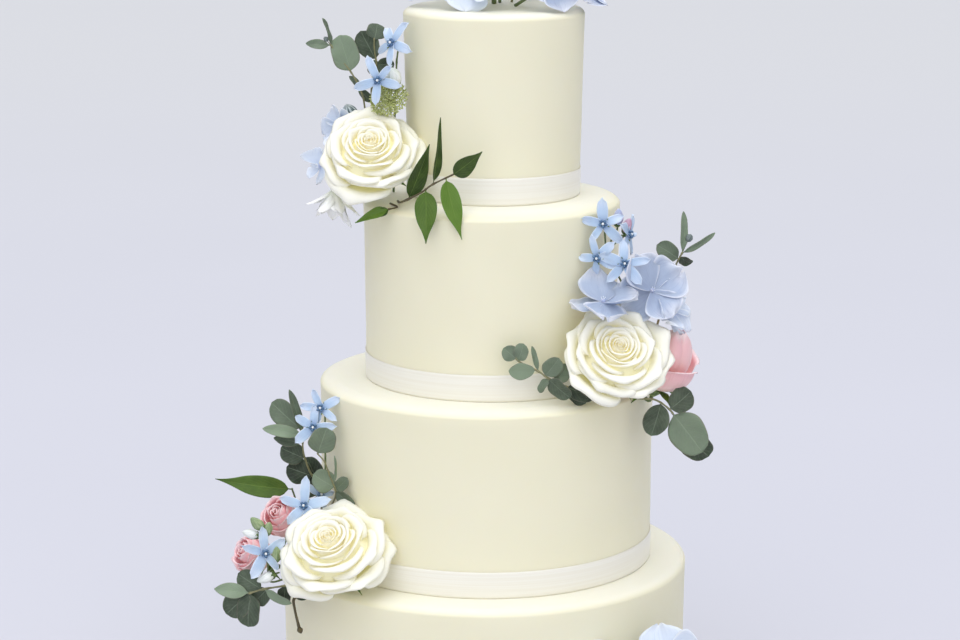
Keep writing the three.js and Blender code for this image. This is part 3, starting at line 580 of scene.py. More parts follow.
def petal(turn, foot, rim, bulge, wrap, lip, roll, tip, flat, spiral, wave, seed):
    """One petal about the flower's axis: its wall swells from foot to rim, and its lip rolls outwards.

    foot and rim are (radius, height), bulge is how far the wall turns in, wrap half the angle that the petal
    covers, and flat how much less it curves across than the circle it stands on."""
    run, rise = rim[0] - foot[0], rim[1] - foot[1]
    aim, swell = math.atan2(run, rise), math.radians(bulge)
    wall = math.hypot(run, rise) * swell / math.sin(swell)

    def at(u, v):
        wall_here = wall * (1 - 0.09 * np.abs(u) ** 2.2 - 0.05 * np.abs(u) ** 7)
        lip_here = lip * (1 + 0.3 * np.sin(2.1 * u + seed) - 0.35 * np.abs(u) ** 5)
        lip_here = lip_here + tip * np.exp(-(u / 0.16) ** 2)
        reach = wall_here + lip_here
        inside = np.clip(v * reach / wall_here, 0, 1)
        over = np.clip((v * reach - wall_here) / lip_here, 0, 1)
        curl = math.radians(roll) * (1 + 0.25 * np.sin(2.7 * u + 1.3 * seed) + 0.3 * u * u)
        angle = aim + swell * (1 - 2 * inside) + curl * over ** 1.2
        step = v[1, 0] - v[0, 0]
        start = np.zeros((1, u.shape[1]))
        pull_r, pull_z = np.sin(angle) * reach * step, np.cos(angle) * reach * step
        r = foot[0] + np.vstack((start, np.cumsum((pull_r[1:] + pull_r[:-1]) / 2, axis=0)))
        z = foot[1] + np.vstack((start, np.cumsum((pull_z[1:] + pull_z[:-1]) / 2, axis=0)))
        bend = np.maximum(r, 1.4) * flat
        a = u * math.radians(wrap) * (1.1 - 0.1 * eased(v, 0, 0.5) - 0.1 * eased(v, 0.8, 1)) / flat
        out = r - bend * (1 - np.cos(a)) + spiral * u * eased(v, 0.1, 0.7)
        side = bend * np.sin(a)
        ripple = wave * v ** 3 * (np.sin(5.3 * u + 1.7 * seed) + 0.5 * np.sin(9 * u + seed))
        c, s = math.cos(math.radians(turn)), math.sin(math.radians(turn))
        return out * c - side * s, out * s + side * c, z + ripple
    return at


def bloom(piece, matrix, count, rounds, look, size, rng, grid, thickness):
    """Petals laid in a spiral from the heart out, with their measures from the rows of rounds."""
    rounds = np.asarray(rounds, float)
    inner, outer = thickness
    for k in range(count):
        t = k / (count - 1)
        radius, height, foot, bulge, wrap, lip, roll, tip, flat, spiral = (
            np.interp(t, rounds[:, 0], rounds[:, i]) for i in range(1, 11))
        j = rng.uniform(-1, 1, 7)
        low = ((0.5 + 4.2 * t) * size, foot * size)
        rim = ((radius + 0.5 * j[1] * (0.2 + t)) * size, (height + 0.8 * j[2] * (0.2 + t)) * size)
        form = petal(GOLDEN_ANGLE * k + 7 * j[0], low, rim, bulge + 3 * j[3], wrap * (1 + 0.06 * j[4]),
                     lip * size, roll * (1 + 0.14 * j[5]), tip * size, flat, spiral * size,
                     (0.1 + 0.6 * t) * size, k * 1.9 + 3 * j[6])
        piece.sheet(form, *grid, inner + (outer - inner) * t, look, matrix, tone=rng.uniform(), depth=t)


# Each row, from heart to guard: share, rim radius, rim height, foot height, bulge, wrap, lip length, roll,
# tip, flatness and spiral.
ROSE_ROUNDS = (
    (0.00, 1.0, 14.8, -12, 12, 120, 0.9, 40, 0.0, 1.0, 0.8),
    (0.19, 5.0, 14.2, -13, 15, 108, 1.8, 70, 0.1, 1.0, 1.0),
    (0.26, 7.0, 13.8, -14, 20, 92, 2.8, 88, 0.4, 1.0, 1.1),
    (0.50, 14.4, 11.4, -16, 27, 78, 4.6, 98, 1.2, 1.02, 1.4),
    (0.56, 16.8, 9.8, -16, 28, 72, 5.6, 100, 1.8, 1.05, 1.5),
    (0.72, 23.2, 5.6, -18, 28, 64, 7.8, 104, 3.0, 1.1, 1.5),
    (0.78, 25.6, 4.0, -19, 27, 62, 8.8, 108, 3.6, 1.12, 1.5),
    (1.00, 31.0, -2.0, -19, 26, 58, 9.6, 112, 4.6, 1.2, 1.3),
)
PINK_ROUNDS = (
    (0.00, 1.0, 12.6, -12, 12, 118, 0.6, 20, 0.0, 1.0, 0.6),
    (0.25, 4.0, 12.2, -13, 18, 104, 0.9, 34, 0.2, 1.0, 0.8),
    (0.35, 5.6, 11.6, -14, 30, 82, 1.4, 46, 0.4, 1.0, 0.9),
    (0.60, 10.0, 10.4, -15, 38, 74, 2.0, 54, 0.6, 1.0, 1.0),
    (0.70, 12.4, 8.4, -16, 42, 66, 2.6, 66, 0.8, 1.02, 1.0),
    (1.00, 16.0, 2.0, -16, 42, 56, 3.6, 100, 1.4, 1.08, 0.9),
)
PINK_BUD_ROUNDS = (
    (0.00, 1.0, 12.0, -12, 12, 118, 0.6, 8, 0.0, 1.0, 0.6),
    (0.35, 2.6, 14.0, -14, 40, 100, 0.8, 8, 0.2, 1.0, 0.9),
    (0.60, 3.6, 15.6, -15, 50, 90, 1.0, 10, 0.4, 1.0, 1.0),
    (0.76, 5.2, 14.6, -16, 54, 82, 1.4, 16, 0.5, 1.0, 1.0),
    (0.80, 15.2, 2.0, -16, 40, 60, 3.4, 66, 1.0, 1.05, 0.9),
    (1.00, 17.4, -2.0, -16, 38, 56, 4.6, 88, 1.4, 1.05, 0.9),
)


def calyx(piece, matrix, radius, height, length, width):
    """The green swelling under a bloom and its five narrow sepals."""
    profile = ((0, -8), (0.5, -7.4), (0.95, -4), (1, -1), (0.6, 2), (0, 2.5))
    piece.turned([(radius * share, height + rise) for share, rise in profile], 16, "calyx", matrix)
    for k in range(5):
        bend = 88 + 14 * math.sin(2.3 * k)
        turned = matrix @ turn_about("z", 72 * k + 20)
        here = turned @ shift(0, radius * 0.8, height - 1) @ turn_about("x", 90 - bend)
        form = leaf(length * (1 + 0.1 * math.sin(3 * k)), width, "pointed", 1.0, 6)
        piece.sheet(form, 6, 12, 0.5, "foliage", here, tone=0.75)


def stalk(piece, root, matrix, back, radius):
    neck, behind = (point(matrix, 0, 0, -depth) for depth in (back, back + 7))
    middle = 0.5 * (behind + np.asarray(root))
    piece.tube([neck, behind, middle, root], radius, "green_stem", sides=10, end=0.9)


def rose(piece, at, faces, root, seed, size=76.0, droop=0.0):
    """A full garden rose: a tight spiral heart, rounds of cupped petals, guards with rolled, pointed lips.

    droop is how far the guards hang lower than in an upright rose."""
    matrix = facing(at, *faces)
    rounds = np.array(ROSE_ROUNDS)
    rounds[:, 2] -= [droop * share ** 3 for share in rounds[:, 0]]
    rng = np.random.default_rng(int(seed * 10))
    bloom(piece, matrix @ turn_about("z", 40 * seed), 34, rounds, "rose", size / ROSE_WIDTH, rng, (22, 22),
          (0.35, 0.7))
    bed = [(r, z - 4.5) for r, z in rounds[:-1, 1:3] * size / ROSE_WIDTH]
    under = (0.7 * bed[-1][0], bed[-1][1] - 5)
    piece.turned([(0, bed[0][1]), *bed, under, (0, -8)], 40, "rose", matrix, depth=0.5)
    calyx(piece, matrix, 5.2, -19, 22, 6.5)
    stalk(piece, root, matrix, 22, 2.0)


def pink_flower(piece, at, faces, root, width, seed, rounds=PINK_ROUNDS):
    """A cupped pink rose, still half closed: smooth outer petals with rolled lips round a paler heart."""
    matrix = facing(at, *faces)
    size = width / PINK_WIDTH
    rng = np.random.default_rng(seed)
    bloom(piece, matrix @ turn_about("z", 31 * seed), 15, rounds, "pink", size, rng, (18, 20), (0.4, 0.7))
    calyx(piece, matrix, 4.0 * size, -17 * size, 13 * size, 4.5 * size)
    stalk(piece, root, matrix, 21 * size, 1.4)


# ---------------------------------------------------------------- leaves

def leaf(length, width, shape, fold, droop, seed=0.0):
    """A leaf from the origin along +Y that faces +Z, on a short stalk."""
    bare = {"round": 0.07, "oval": 0.08, "pointed": 0.05, "blade": 0.06}[shape]

    def at(u, v):
        s = np.clip((v - bare) / (1 - bare), 0, 1)
        if shape == "round":
            half = np.sqrt(np.clip(1 - np.abs(2 * s - 1) ** 2.2, 0, 1)) * (1 + 0.05 * np.sin(7 * s + seed))
        elif shape == "oval":
            half = np.sin(math.pi * s ** 0.92) ** 0.75
        elif shape == "pointed":
            half = np.sin(math.pi * s ** 0.62) ** 0.95 * (1 - 0.4 * eased(s, 0.55, 0.95))
        else:
            half = np.sin(math.pi * s ** 0.95) ** 0.62
        half = np.maximum(half * width / 2, 0.35 * (1 - 0.6 * s))
        lift = fold * np.abs(u) ** 1.3 * (half / (width / 2)) + 0.5 * u * np.sin(9 * s)
        ripple = 0.35 * (width / 18) * u * u * np.sin(8 * s + 3 * u + seed)
        sway = 0.07 * length * math.sin(1.7 * seed) * s * s
        return u * half + sway, v * length, lift + ripple - droop * s * s
    return at


# The usual shape and fold of each kind of leaf.
LEAF_KINDS = {"eucalyptus": ("round", 1.2), "foliage": ("pointed", 1.6)}


def sprig(piece, radius, points, leaves, look="eucalyptus", stem="grey_stem"):
    """A stem with its leaves: (share, heading, length, width, forward, turn, tone, shape, droop).

    A leaf without a shape has its kind's, and one without a droop hangs 2 mm."""
    path = curve(points)
    piece.tube(points, radius * 1.05, stem, swell=[spec[0] for spec in leaves], end=0.6)
    usual, fold = LEAF_KINDS[look]
    for i, spec in enumerate(leaves):
        spec = (*spec, *(usual, 2.0)[len(spec) - 7:])
        share, heading, length, width, forward, turn, tone, shape, droop = spec
        matrix = leaf_matrix(path(share), heading, forward, turn)
        if shape == "bud":
            piece.tube([matrix[:3, 3], point(matrix, 0, length - width, 0)], 0.35, stem, spacing=1.0)
            profile = np.array([(0, 0), (0.3, 0.15), (0.45, 0.5), (0.3, 0.85), (0, 1)]) * width
            here = matrix @ shift(0, length - width, 0) @ turn_about("x", -90)
            piece.turned(profile, 14, "grey_bud", here)
            continue
        form = leaf(length, width, shape, fold, droop, i * 2.1 + length)
        # The leaf's tone is partly painted shade: low for leaves in shade, high for lit ones.
        piece.sheet(form, 14, 20, 0.5, look, matrix, tone)


# ---------------------------------------------------------------- small flowers

def star(piece, matrix, size, recurve, seed):
    """A sky-blue flower: five strap petals, a dark ring of scales and a white dot."""
    rng = np.random.default_rng(50 + seed)

    def strap(reach, wide, lift, curl, lean):
        def at(u, v):
            part = 0.08 + 0.92 * v
            half = reach * wide * (0.5 + 0.5 * np.sin(math.pi * np.clip(0.12 + 0.8 * v, 0, 1)))
            half = half * (1 - 0.75 * eased(v, 0.8, 1) ** 2)
            bow = lift * part - recurve * part ** 2 - 0.9 * (1 - v) ** 2
            cross = curl * u * u * (0.3 + v) + lean * u * v + 0.25 * np.sin(5 * v + 2 * u)
            return reach * part + 0.5 * np.cos(3 * u) * v, u * half, 0.3 + bow + cross
        return at
    for k in range(5):
        a, b, c, d, e, f = rng.uniform(-1, 1, 6)
        form = strap(size / 2 * (1 + 0.12 * a), 0.195 * (1 + 0.15 * b), 3.4 * c, 0.9 + 0.7 * d, 1.4 * e)
        piece.sheet(form, 8, 16, 0.5, "star", matrix @ turn_about("z", 72 * k + 8 * f), tone=rng.uniform())
    piece.turned([(0, -3.4), (0.9, -3.0), (1.7, -0.6), (2.2, 0.3), (0, 0.6)], 12, "star", matrix)
    for here in five(matrix, 36, (1.75, 0, 0.6), "y", 20):
        piece.turned([(0, -0.9), (0.95, -0.5), (1.15, 0.4), (0.75, 1.5), (0, 1.9)], 10, "star_ring", here)
    piece.turned([(0, 0.2), (0.85, 0.6), (0.95, 1.6), (0.6, 2.3), (0, 2.5)], 12, "white_dot", matrix)
    piece.turned([(0, -4.6), (0.9, -4.2), (1.6, -2.6), (1.2, -1.0), (0, -0.9)], 10, "calyx", matrix)
    for here in five(matrix, 10, (0, 1.0, -3.2), "x", 48):
        piece.sheet(leaf(5.2, 2.0, "pointed", 0.2, 0.3), 4, 6, 0.35, "calyx", here, tone=0.6)


def floret(piece, matrix, size, cup, wave, seed, look):
    """A hydrangea floret: four broad ruffled petals, each with its own tilt, round a small bead."""
    rng = np.random.default_rng(70 + seed)

    def broad(reach, tilt, twist, bowl, phase):
        def at(u, v):
            width = np.sin(math.pi * np.clip(0.015 + 0.97 * v, 0, 1) ** 1.35) ** 0.62
            half = 0.66 * reach * np.maximum(width, 0.03)
            notch = np.exp(-(u / 0.14) ** 2)
            rho = reach * (v + 0.035 * notch * v ** 4 + 0.02 * v ** 3 * np.sin(6 * u + phase))
            height = (tilt * v + cup * v ** 2 + twist * u * half * (0.3 + 0.7 * v) / reach * 6
                      + bowl * u * u * (half / reach) * 5)
            ruffle = wave * (0.7 * v ** 3 * np.sin(5.2 * u + phase)
                             + 0.55 * v ** 2 * np.abs(u) ** 3 * np.sin(11 * v + 2 * phase))
            crease = -0.7 * notch * np.sin(math.pi * v)
            return rho, u * half, height + ruffle + crease
        return at
    for k in range(4):
        a, b, c, d, e, f = rng.uniform(-1, 1, 6)
        form = broad(size / 2 * (1 + 0.07 * a), 0.4 * size / 2 * b, 2.0 * c, 0.9 + 1.5 * d, 3 * e)
        here = matrix @ turn_about("z", 90 * k + 7 * f) @ shift(0, 0, 0.35 if k % 2 else -0.25)
        piece.sheet(form, 22, 22, 0.4, look, here, tone=rng.uniform())
    bead = [(0, -2.5), (0.9, -1.6), (1.3, 0.2), (1.6, 1.1), (1.3, 2.1), (0, 2.6)]
    piece.turned(bead, 12, "blue_bud", matrix)
    for here in five(matrix, 0, (0.7, 0, 2.0), "y", 26):
        piece.turned([(0, 0), (0.14, 0.2), (0.12, 1.3), (0.34, 1.7), (0, 2.1)], 6, "white_dot", here)


def bud(piece, matrix, length, look, fat):
    """A closed bud, its petals wrapped round each other: a petal bud on a small calyx, a brown one bare."""
    wide = fat * length
    upper = ((0.85, 0.15), (1, 0.36), (0.86, 0.6), (0.55, 0.82), (0.25, 0.95), (0, 1))
    profile = [(0, -1.0), (0.55 * wide, -0.4), *((r * wide, z * length) for r, z in upper)]

    def wrap(r, z, turn, share):
        return r * (1 + 0.09 * np.cos(5 * turn + 2.5 * share)), z
    piece.turned(profile, 20, look, matrix, wrap)
    if look == "brown_stem":
        return
    piece.turned([(0, -1.6), (0.5 * wide, -1.3), (0.78 * wide, 0.0), (0.7 * wide, 0.14 * length),
                  (0, 0.16 * length)], 12, "calyx", matrix)
    form = leaf(0.42 * length, 0.34 * wide + 0.5, "pointed", 0.2, -0.3)
    for here in five(matrix, 0, (0, 0.72 * wide, 0), "x", 84):
        piece.sheet(form, 4, 6, 0.35, "calyx", here)


def umbel(piece, matrix, width):
    """A fuzzy flat head of tiny green flowers on thin rays."""
    rng = np.random.default_rng(1)
    count = 210
    for k in range(count):
        radius = width / 2 * math.sqrt((k + 0.5) / count)
        angle = math.radians(GOLDEN_ANGLE * k)
        x, y = radius * math.cos(angle), radius * math.sin(angle)
        z = 4.2 - 4.6 * (2 * radius / width) ** 2 + rng.uniform(-0.7, 0.7)
        here = matrix @ shift(x, y, z)
        for axis in "xy":
            here = here @ turn_about(axis, rng.uniform(-35, 35))
        if k % 3 == 0:
            ray = [point(matrix, *p) for p in ((0, 0, -8.5), (0.35 * x, 0.35 * y, z - 4.5), (x, y, z))]
            piece.tube(ray, 0.22, "umbel", sides=5, spacing=2.4, tone=rng.uniform())
        bead = [(0, -0.4), (0.5, -0.1), (0.62, 0.4), (0.3, 0.9), (0, 1.0)]
        piece.turned(bead, 7, "umbel", here, tone=rng.uniform())
        for j in range(3):
            there = here @ turn_about("z", 120 * j + 40 * k) @ turn_about("x", rng.uniform(20, 60))
            piece.sheet(leaf(1.9, 0.9, "oval", 0.1, 0.2), 2, 4, 0.25, "umbel", there, tone=rng.uniform())


def bell(piece, matrix, size):
    """A hanging white flower in two layers, with dark stamens."""
    for layer, (count, open_angle, length) in enumerate(((7, 58, 1.0), (6, 74, 0.85))):
        for k in range(count):
            turned = matrix @ turn_about("z", 360 / count * k + 24 * layer)
            here = turned @ shift(0, 1.8, 0.6) @ turn_about("x", open_angle - 12 * (k % 2))
            reach = size * length * (1 + 0.1 * math.sin(5 * k))
            form = leaf(reach, 0.4 * size, "oval", 2.2, 2.0, k * 1.3 + layer)
            piece.sheet(form, 10, 16, 0.4, "white", here, tone=(0.29 * k) % 1)
    piece.turned([(0, -5), (1.4, -4.4), (2.9, -1.2), (3.0, 1.4), (1.6, 3.4), (0, 4)], 14, "calyx", matrix)
    for k in range(7):
        c, s = math.cos(k * 0.9), math.sin(k * 0.9)
        foot, middle = point(matrix, 0, 0, 2), point(matrix, 0.5 * c, 0.5 * s, 6)
        tip = point(matrix, 2.64 * c, 2.64 * s, 10 + 2.0 * math.sin(3 * k))
        piece.tube([foot, middle, tip], 0.3, "white", sides=6, spacing=1.5)
        here = matrix.copy()
        here[:3, 3] = tip
        piece.turned([(0, -0.4), (0.5, 0.1), (0.5, 1.3), (0, 1.8)], 7, "dark", here)


def spray(piece, radius, points, heads, stem="green_stem"):
    """Heads on one branching stem: (maker, how far it reaches back, share, place, facing, settings)."""
    path = curve(points)
    piece.tube(points, radius, stem, swell=[head[2] for head in heads], end=0.7)
    for maker, back, share, at, faces, settings in heads:
        matrix = facing(at, *faces)
        neck, behind = (point(matrix, 0, 0, -depth) for depth in (back, back + 3.5))
        root = path(share)
        far = np.linalg.norm(neck - root)
        if far < 4:
            between = []
        elif far < 9:
            between = [0.5 * (root + behind)]
        else:
            between = [0.55 * root + 0.45 * behind + (0, 0, 1.2), behind]
        piece.tube([root, *between, neck], 0.72 * radius, stem, spacing=1.3, end=0.9, tone=0.3)
        maker(piece, matrix, *settings)


def star_head(seed, share, at, faces, size=31.0, recurve=2.0):
    return star, 3.8, share, at, faces, (size, recurve, seed)


def floret_head(seed, share, at, faces, size, cup=3.0, wave=1.5, look="hydrangea"):
    return floret, 2.0, share, at, faces, (size, cup, wave, seed, look)


def pale_head(seed, share, at, faces, size, cup=3.0, wave=1.5):
    return floret_head(seed, share, at, faces, size, cup, wave, "pale_hydrangea")


def bud_head(share, at, faces, length, look, fat=0.3):
    return bud, 0.8, share, at, faces, (length, look, fat)


# ---------------------------------------------------------------- assembly

for tier_level, tier_name in enumerate(TIERS):
    tier(tier_name, tier_level)
    ribbon(tier_name, tier_level)

# The anchor of each cluster, by the letter that starts the places of its pieces.
ANCHORS = {
    "a": (-70, -30, 3 * TIER_PITCH),
    "b": (85, -60, 2 * TIER_PITCH),
    "c": (-95, -70, TIER_PITCH),
    "d": (118, -112, 0),
    "t": (TIERS["top"][1], 0, 4 * TIER_PITCH),
}


def kind(name, slot, maker, **usual):
    """The function that makes a piece of this kind at its place, such as b_left in cluster B."""
    def make(place, *arguments, **settings):
        node = name + "_" + place
        piece = Piece()
        maker(piece, *arguments, **{**usual, **settings})
        piece.build("fine_" + node, node, slot, ANCHORS[place[0]])
    return make


cream_rose = kind("rose", "rose", rose)
pink_rose = kind("pink_flower", "pink_petal", pink_flower)
hydrangea = kind("hydrangea", "blue_petal", spray)
star_spray = kind("star_spray", "star_petal", spray)
bell_flower = kind("bell_flower", "white_petal", spray)
green_umbel = kind("umbel", "green_flower", spray)
striped_bud = kind("striped_bud", "bud", spray)
twig = kind("twig", "grey_leaf", spray, stem="brown_stem")
eucalyptus = kind("eucalyptus", "grey_leaf", sprig)
leafy_sprig = kind("leafy_sprig", "green_leaf", sprig, look="foliage", stem="brown_stem")
low_leaf = kind("low_leaf", "green_leaf", sprig, look="foliage", stem="brown_stem")
long_leaf = kind("long_leaf", "green_leaf", sprig, look="foliage", stem="green_stem")


# Cluster A, left of the top tier.
cream_rose("a", (-6.8, -15, 34.5), (-2, 46, 14), (-5, 12, 0.5), 0.4, 73, 3)
star_spray("a", 0.9, [(7, 26, 0.4), (8, 27, 54), (10, 10, 94)], [
    star_head(1, 0.97, (7, -4, 106), (-46, 22, -6), 33), star_head(2, 0.8, (-2, -12, 82), (-15, 5, -20), 32),
    bud_head(0.86, (9, -3, 79), (-18, 58), 13, "white_bud", 0.42)])
green_umbel("a", 0.8, [(3, 22, 0.4), (4, 25, 44), (7, 15, 63)], [
    (umbel, 7.0, 0.98, (5, -2, 68), (-18, 40), (26.0,))])
eucalyptus("a_left", 0.7, [(-5, 30, 1), (-12, 26, 56), (-14, 12, 71), (-20, 2, 85), (-29, 0, 97),
        (-34, -2, 105)], [
    (0.61, 107, 26, 19, 8, 8, 0.8), (0.98, 178, 17, 7, 0, 20, 0.6, "oval"),
    (0.97, 104, 19, 5, 0, 65, 0.35, "blade"), (0.96, 128, 8, 4, 0, 0, 0.3, "bud"),
    (0.45, 127, 10, 5, 0, 30, 0.3, "oval")])
eucalyptus("a_right", 0.8, [(1, 32, 1), (-7, 26, 60), (-7, 20, 75), (-4, 14, 88), (-5, 10, 101),
        (-5, 8, 108)], [
    (0.67, 117, 22, 16, 8, -10, 0.15), (0.96, 76, 11, 14, -8, 10, 0.25), (0.62, 3, 12, 10, 4, 10, 0.1),
    (0.49, 80, 11, 11, 14, 20, 0.5), (0.4, 8, 20, 11, -10, -10, 0.15),
    (0.21, 135, 13, 7, 0, 30, 0.05, "oval")])
hydrangea("a", 1.2, [(-9, 23, 0.3), (-16, 27, 26), (-25, 24, 40)], [
    pale_head(1, 0.97, (-28, 17, 46), (-36, 14, 30), 30),
    pale_head(2, 0.7, (-41, 6, 22), (-66, -4, 10), 26, 2)])
leafy_sprig("a", 0.8, [(11, -14, 1), (14, -30, 3), (27, -47, 12), (35, -49, 18), (49, -50, 25)], [
    (0.35, 66, 39, 13, -10, 25, 0.12), (0.76, 82, 44, 9, -8, 58, 0.1), (0.98, 34, 25, 13, -4, 15, 0.12),
    (0.61, -88, 36, 15, 15, 8, 0.55, "pointed", -1.0), (0.91, -78, 42, 13, 14, -10, 0.9, "pointed", -1.0)])
low_leaf("a", 0.7, [(6, -16, -0.3), (11, -26, -1), (5, -33, -1.5)], [
    (0.98, 200, 24, 8, 2, 40, 0.85), (0.94, 206, 13, 6, 0, 20, 0.3)])
bell_flower("a", 0.8, [(-7, 17, 1), (-16, 12, 12), (-25, 2, 16)], [
    (bell, 4.0, 0.98, (-30, -10, 9), (-28, -68, 0), (25.0,))])
striped_bud("a", 0.7, [(-13, 27, 0.3), (-16, 30, 30), (-20, 27, 45)], [
    bud_head(0.98, (-21, 22, 51), (-30, 58), 13, "striped", 0.42)])

# Cluster B, right of the second tier.
cream_rose("b", (1.4, -27, 32.5), (13, 43, 40), (4, 6, 0.5), 2.2)
pink_rose("b", (38, 3, 24), (46, 64, 0), (15, 12, 0.5), 48, 1, rounds=PINK_BUD_ROUNDS)
hydrangea("b_left", 1.2, [(8, 23, 1), (8, 24, 50), (2, 13, 68)], [
    floret_head(3, 0.98, (-7, -22.6, 67.6), (-12, 70, 20), 46, 6, 3.6)], stem="red_stem")
hydrangea("b_right", 1.2, [(19, 27, 1), (22, 24, 40), (26, 10, 56)], [
    floret_head(4, 0.97, (26, -6, 72), (14, 30, 30), 46, 5, 4),
    pale_head(5, 0.85, (40, 4, 57), (40, 24, 20), 36, 3, 4)], stem="red_stem")
star_spray("b", 0.9, [(13, 20, 0.6), (12, 19, 56), (2, 6, 84), (-5, 2, 97)], [
    star_head(3, 0.98, (-7, -5, 117), (-8, 8, 20), 33),
    star_head(4, 0.92, (11, 0, 109), (62, 14, 0), 30, 1.0),
    star_head(5, 0.84, (-11, -12, 95.3), (-22, -6, 40), 29), star_head(6, 0.8, (7, -14, 92), (8, 8, 12), 33),
    bud_head(0.96, (8, 4, 110), (40, 64), 11, "pink_bud"),
    bud_head(0.97, (3, 5, 115), (10, 72), 12, "blue_bud")])
eucalyptus("b_top", 0.8, [(22, 32, 1), (37, 30, 58), (43, 22, 82), (48, 18, 94)], [
    (0.98, 86, 28, 6, 0, 25, 0.75, "blade"), (0.97, 29, 26, 5, 4, 20, 0.65, "blade"),
    (0.83, 144, 18, 13, 10, 25, 0.35), (0.89, -40, 10, 10, -10, 40, 0.1),
    (0.95, 66, 15, 6, 0, 0, 0.5, "bud")])
eucalyptus("b_left", 0.7, [(-4, -16, 1), (-14, -26, 4), (-27, -30, 10), (-42, -36, 18), (-50, -38, 24),
        (-63, -39, 31), (-65, -39, 34)], [
    (0.9, 137, 11, 11, 0, 15, 0.5), (0.84, 72, 12, 10, 8, -10, 0.55), (0.69, 182, 18, 12, 12, -15, 0.95),
    (0.67, 106, 17, 4, -12, 20, 0.6, "blade"), (0.57, 54, 15, 14, 6, 15, 0.5),
    (0.46, 48, 14, 11, -6, 0, 0.6), (0.52, -44, 19, 13, 14, 25, 0.2), (0.52, 231, 11, 6, 10, 30, 0.5),
    (0.38, -22, 20, 12, 6, 0, 0), (0.35, -50, 14, 11, 14, 20, 0)])
eucalyptus("b_low", 0.8, [(4, -8, 1), (19, -14, 0), (29, -14, -1), (38, -14, -7), (43, -14, -14),
        (49, -15, -26)], [
    (0.48, 256, 23, 17, 16, 10, 0.08), (0.62, 36, 19, 17, -8, -15, 0.1), (0.7, -50, 33, 25, 16, 0, 0.62),
    (0.97, -44, 25, 21, -6, 15, 0.08)])

# Cluster C, left of the third tier.
cream_rose("c", (-7, -36, 33), (-18, 50, -8), (-11, -4, 0.5), 4.1, 77, 9)
pink_rose("c_upper", (-42, 6, 41), (-35, 40, 0), (-29, 26, 0.5), 31, 2)
pink_rose("c_lower", (-63, -1, 17), (-58, 30, 0), (-26, 11, 0.5), 29, 3)
star_spray("c_top", 0.9, [(-22, 29, 0.6), (-15, 25, 52), (-14, 24, 97)], [
    star_head(7, 0.93, (-21, 6, 104.4), (-10, 12, 10), 31),
    star_head(8, 0.98, (-16, 10, 116.7), (-20, 18, 40), 31)])
star_spray("c_mid", 0.9, [(-20, 20, 1), (-24, 22, 30), (-25, 16, 51)], [
    star_head(9, 0.98, (-27, -7, 53), (-14, 24, 25), 36),
    star_head(10, 0.9, (-17, 12, 55.3), (34, 28, 0), 25, 0.5)])
star_spray("c_low", 0.8, [(-22, 4, 0.8), (-38, -2, 0.8), (-50, -14, 2), (-51, -20, 17), (-52, -22, 33)], [
    star_head(11, 0.76, (-52, -28, 26), (22, 5, 22), 34),
    bud_head(0.55, (-47, -25, 10), (-70, -16), 12, "white_bud"),
    bud_head(0.98, (-54, -23, 42), (-60, 45), 12, "green_bud"),
    bud_head(0.94, (-57, -24, 37), (-80, 18), 11, "white_bud"),
    bud_head(0.96, (-51, -22, 38), (30, 64), 10, "green_bud"),
    bud_head(0.6, (-45, -23, 20), (10, 70), 11, "green_bud")])
eucalyptus("c_up", 0.8, [(-23, 33, 1), (-17, 30, 50), (-25, 26, 68), (-29, 22, 83), (-29, 18, 95),
        (-30, 17, 101)], [
    (0.98, 143, 27, 17, -8, 10, 0.4), (0.84, 103, 33, 7, 8, 35, 0.3, "blade"),
    (0.81, 161, 28, 9, 14, 25, 1, "blade"), (0.71, 172, 20, 9, 4, 20, 0.2, "oval"),
    (0.53, 160, 18, 16, -4, 15, 0.1), (0.35, 158, 19, 17, 8, 10, 0), (0.28, 115, 19, 16, -4, -10, 0),
    (0.23, 170, 14, 13, 6, 10, 0.05)])
eucalyptus("c_right", 0.7, [(-15, 27, 0.6), (-11, 20, 40), (-6, 4, 59), (-10, 1, 72), (-13, -2, 82),
        (-18, -4, 89)], [
    (0.98, 73, 19, 19, 6, 10, 0.45), (0.46, 149, 17, 16, 8, 10, 0.7), (0.42, -35, 18, 10, 34, 20, 0.3),
    (0.43, 51, 14, 9, 30, -10, 0.5), (0.5, 80, 24, 2, 24, 40, 1, "blade")])
long_leaf("c", 0.9, [(-32, 30, 1), (-35, 30, 43), (-37, 22, 57)], [
    (0.98, 175, 53, 15, 3, 12, 0.5)])
eucalyptus("c_low", 0.8, [(-18, -8, 0.6), (-28, -12, 0.5), (-41, -18, 0), (-54, -22, -1), (-64, -22, -4)], [
    (0.98, 169, 24, 11, 10, 30, 0.95, "oval"), (0.77, 151, 20, 15, -14, 0, 0.2),
    (0.69, 229, 16, 14, -10, 10, 0.15), (0.98, 222, 23, 18, -4, 5, 0.12), (0.96, 260, 24, 17, 4, 10, 0.1),
    (0.74, -29, 21, 9, 16, 30, 0.9, "oval"), (0.47, 262, 13, 10, 8, 10, 0), (0.38, -50, 14, 10, 8, 10, 0)])
twig("c", 1.25, [(-4, -14, 1.8), (-14, -17, 1.6), (-24, -22, -2), (-33, -23, -7), (-33, -24, -14),
        (-30, -26, -27)], [
    bud_head(0.99, (-30, -26, -27), (50, -60), 4, "brown_stem", 0.5)])

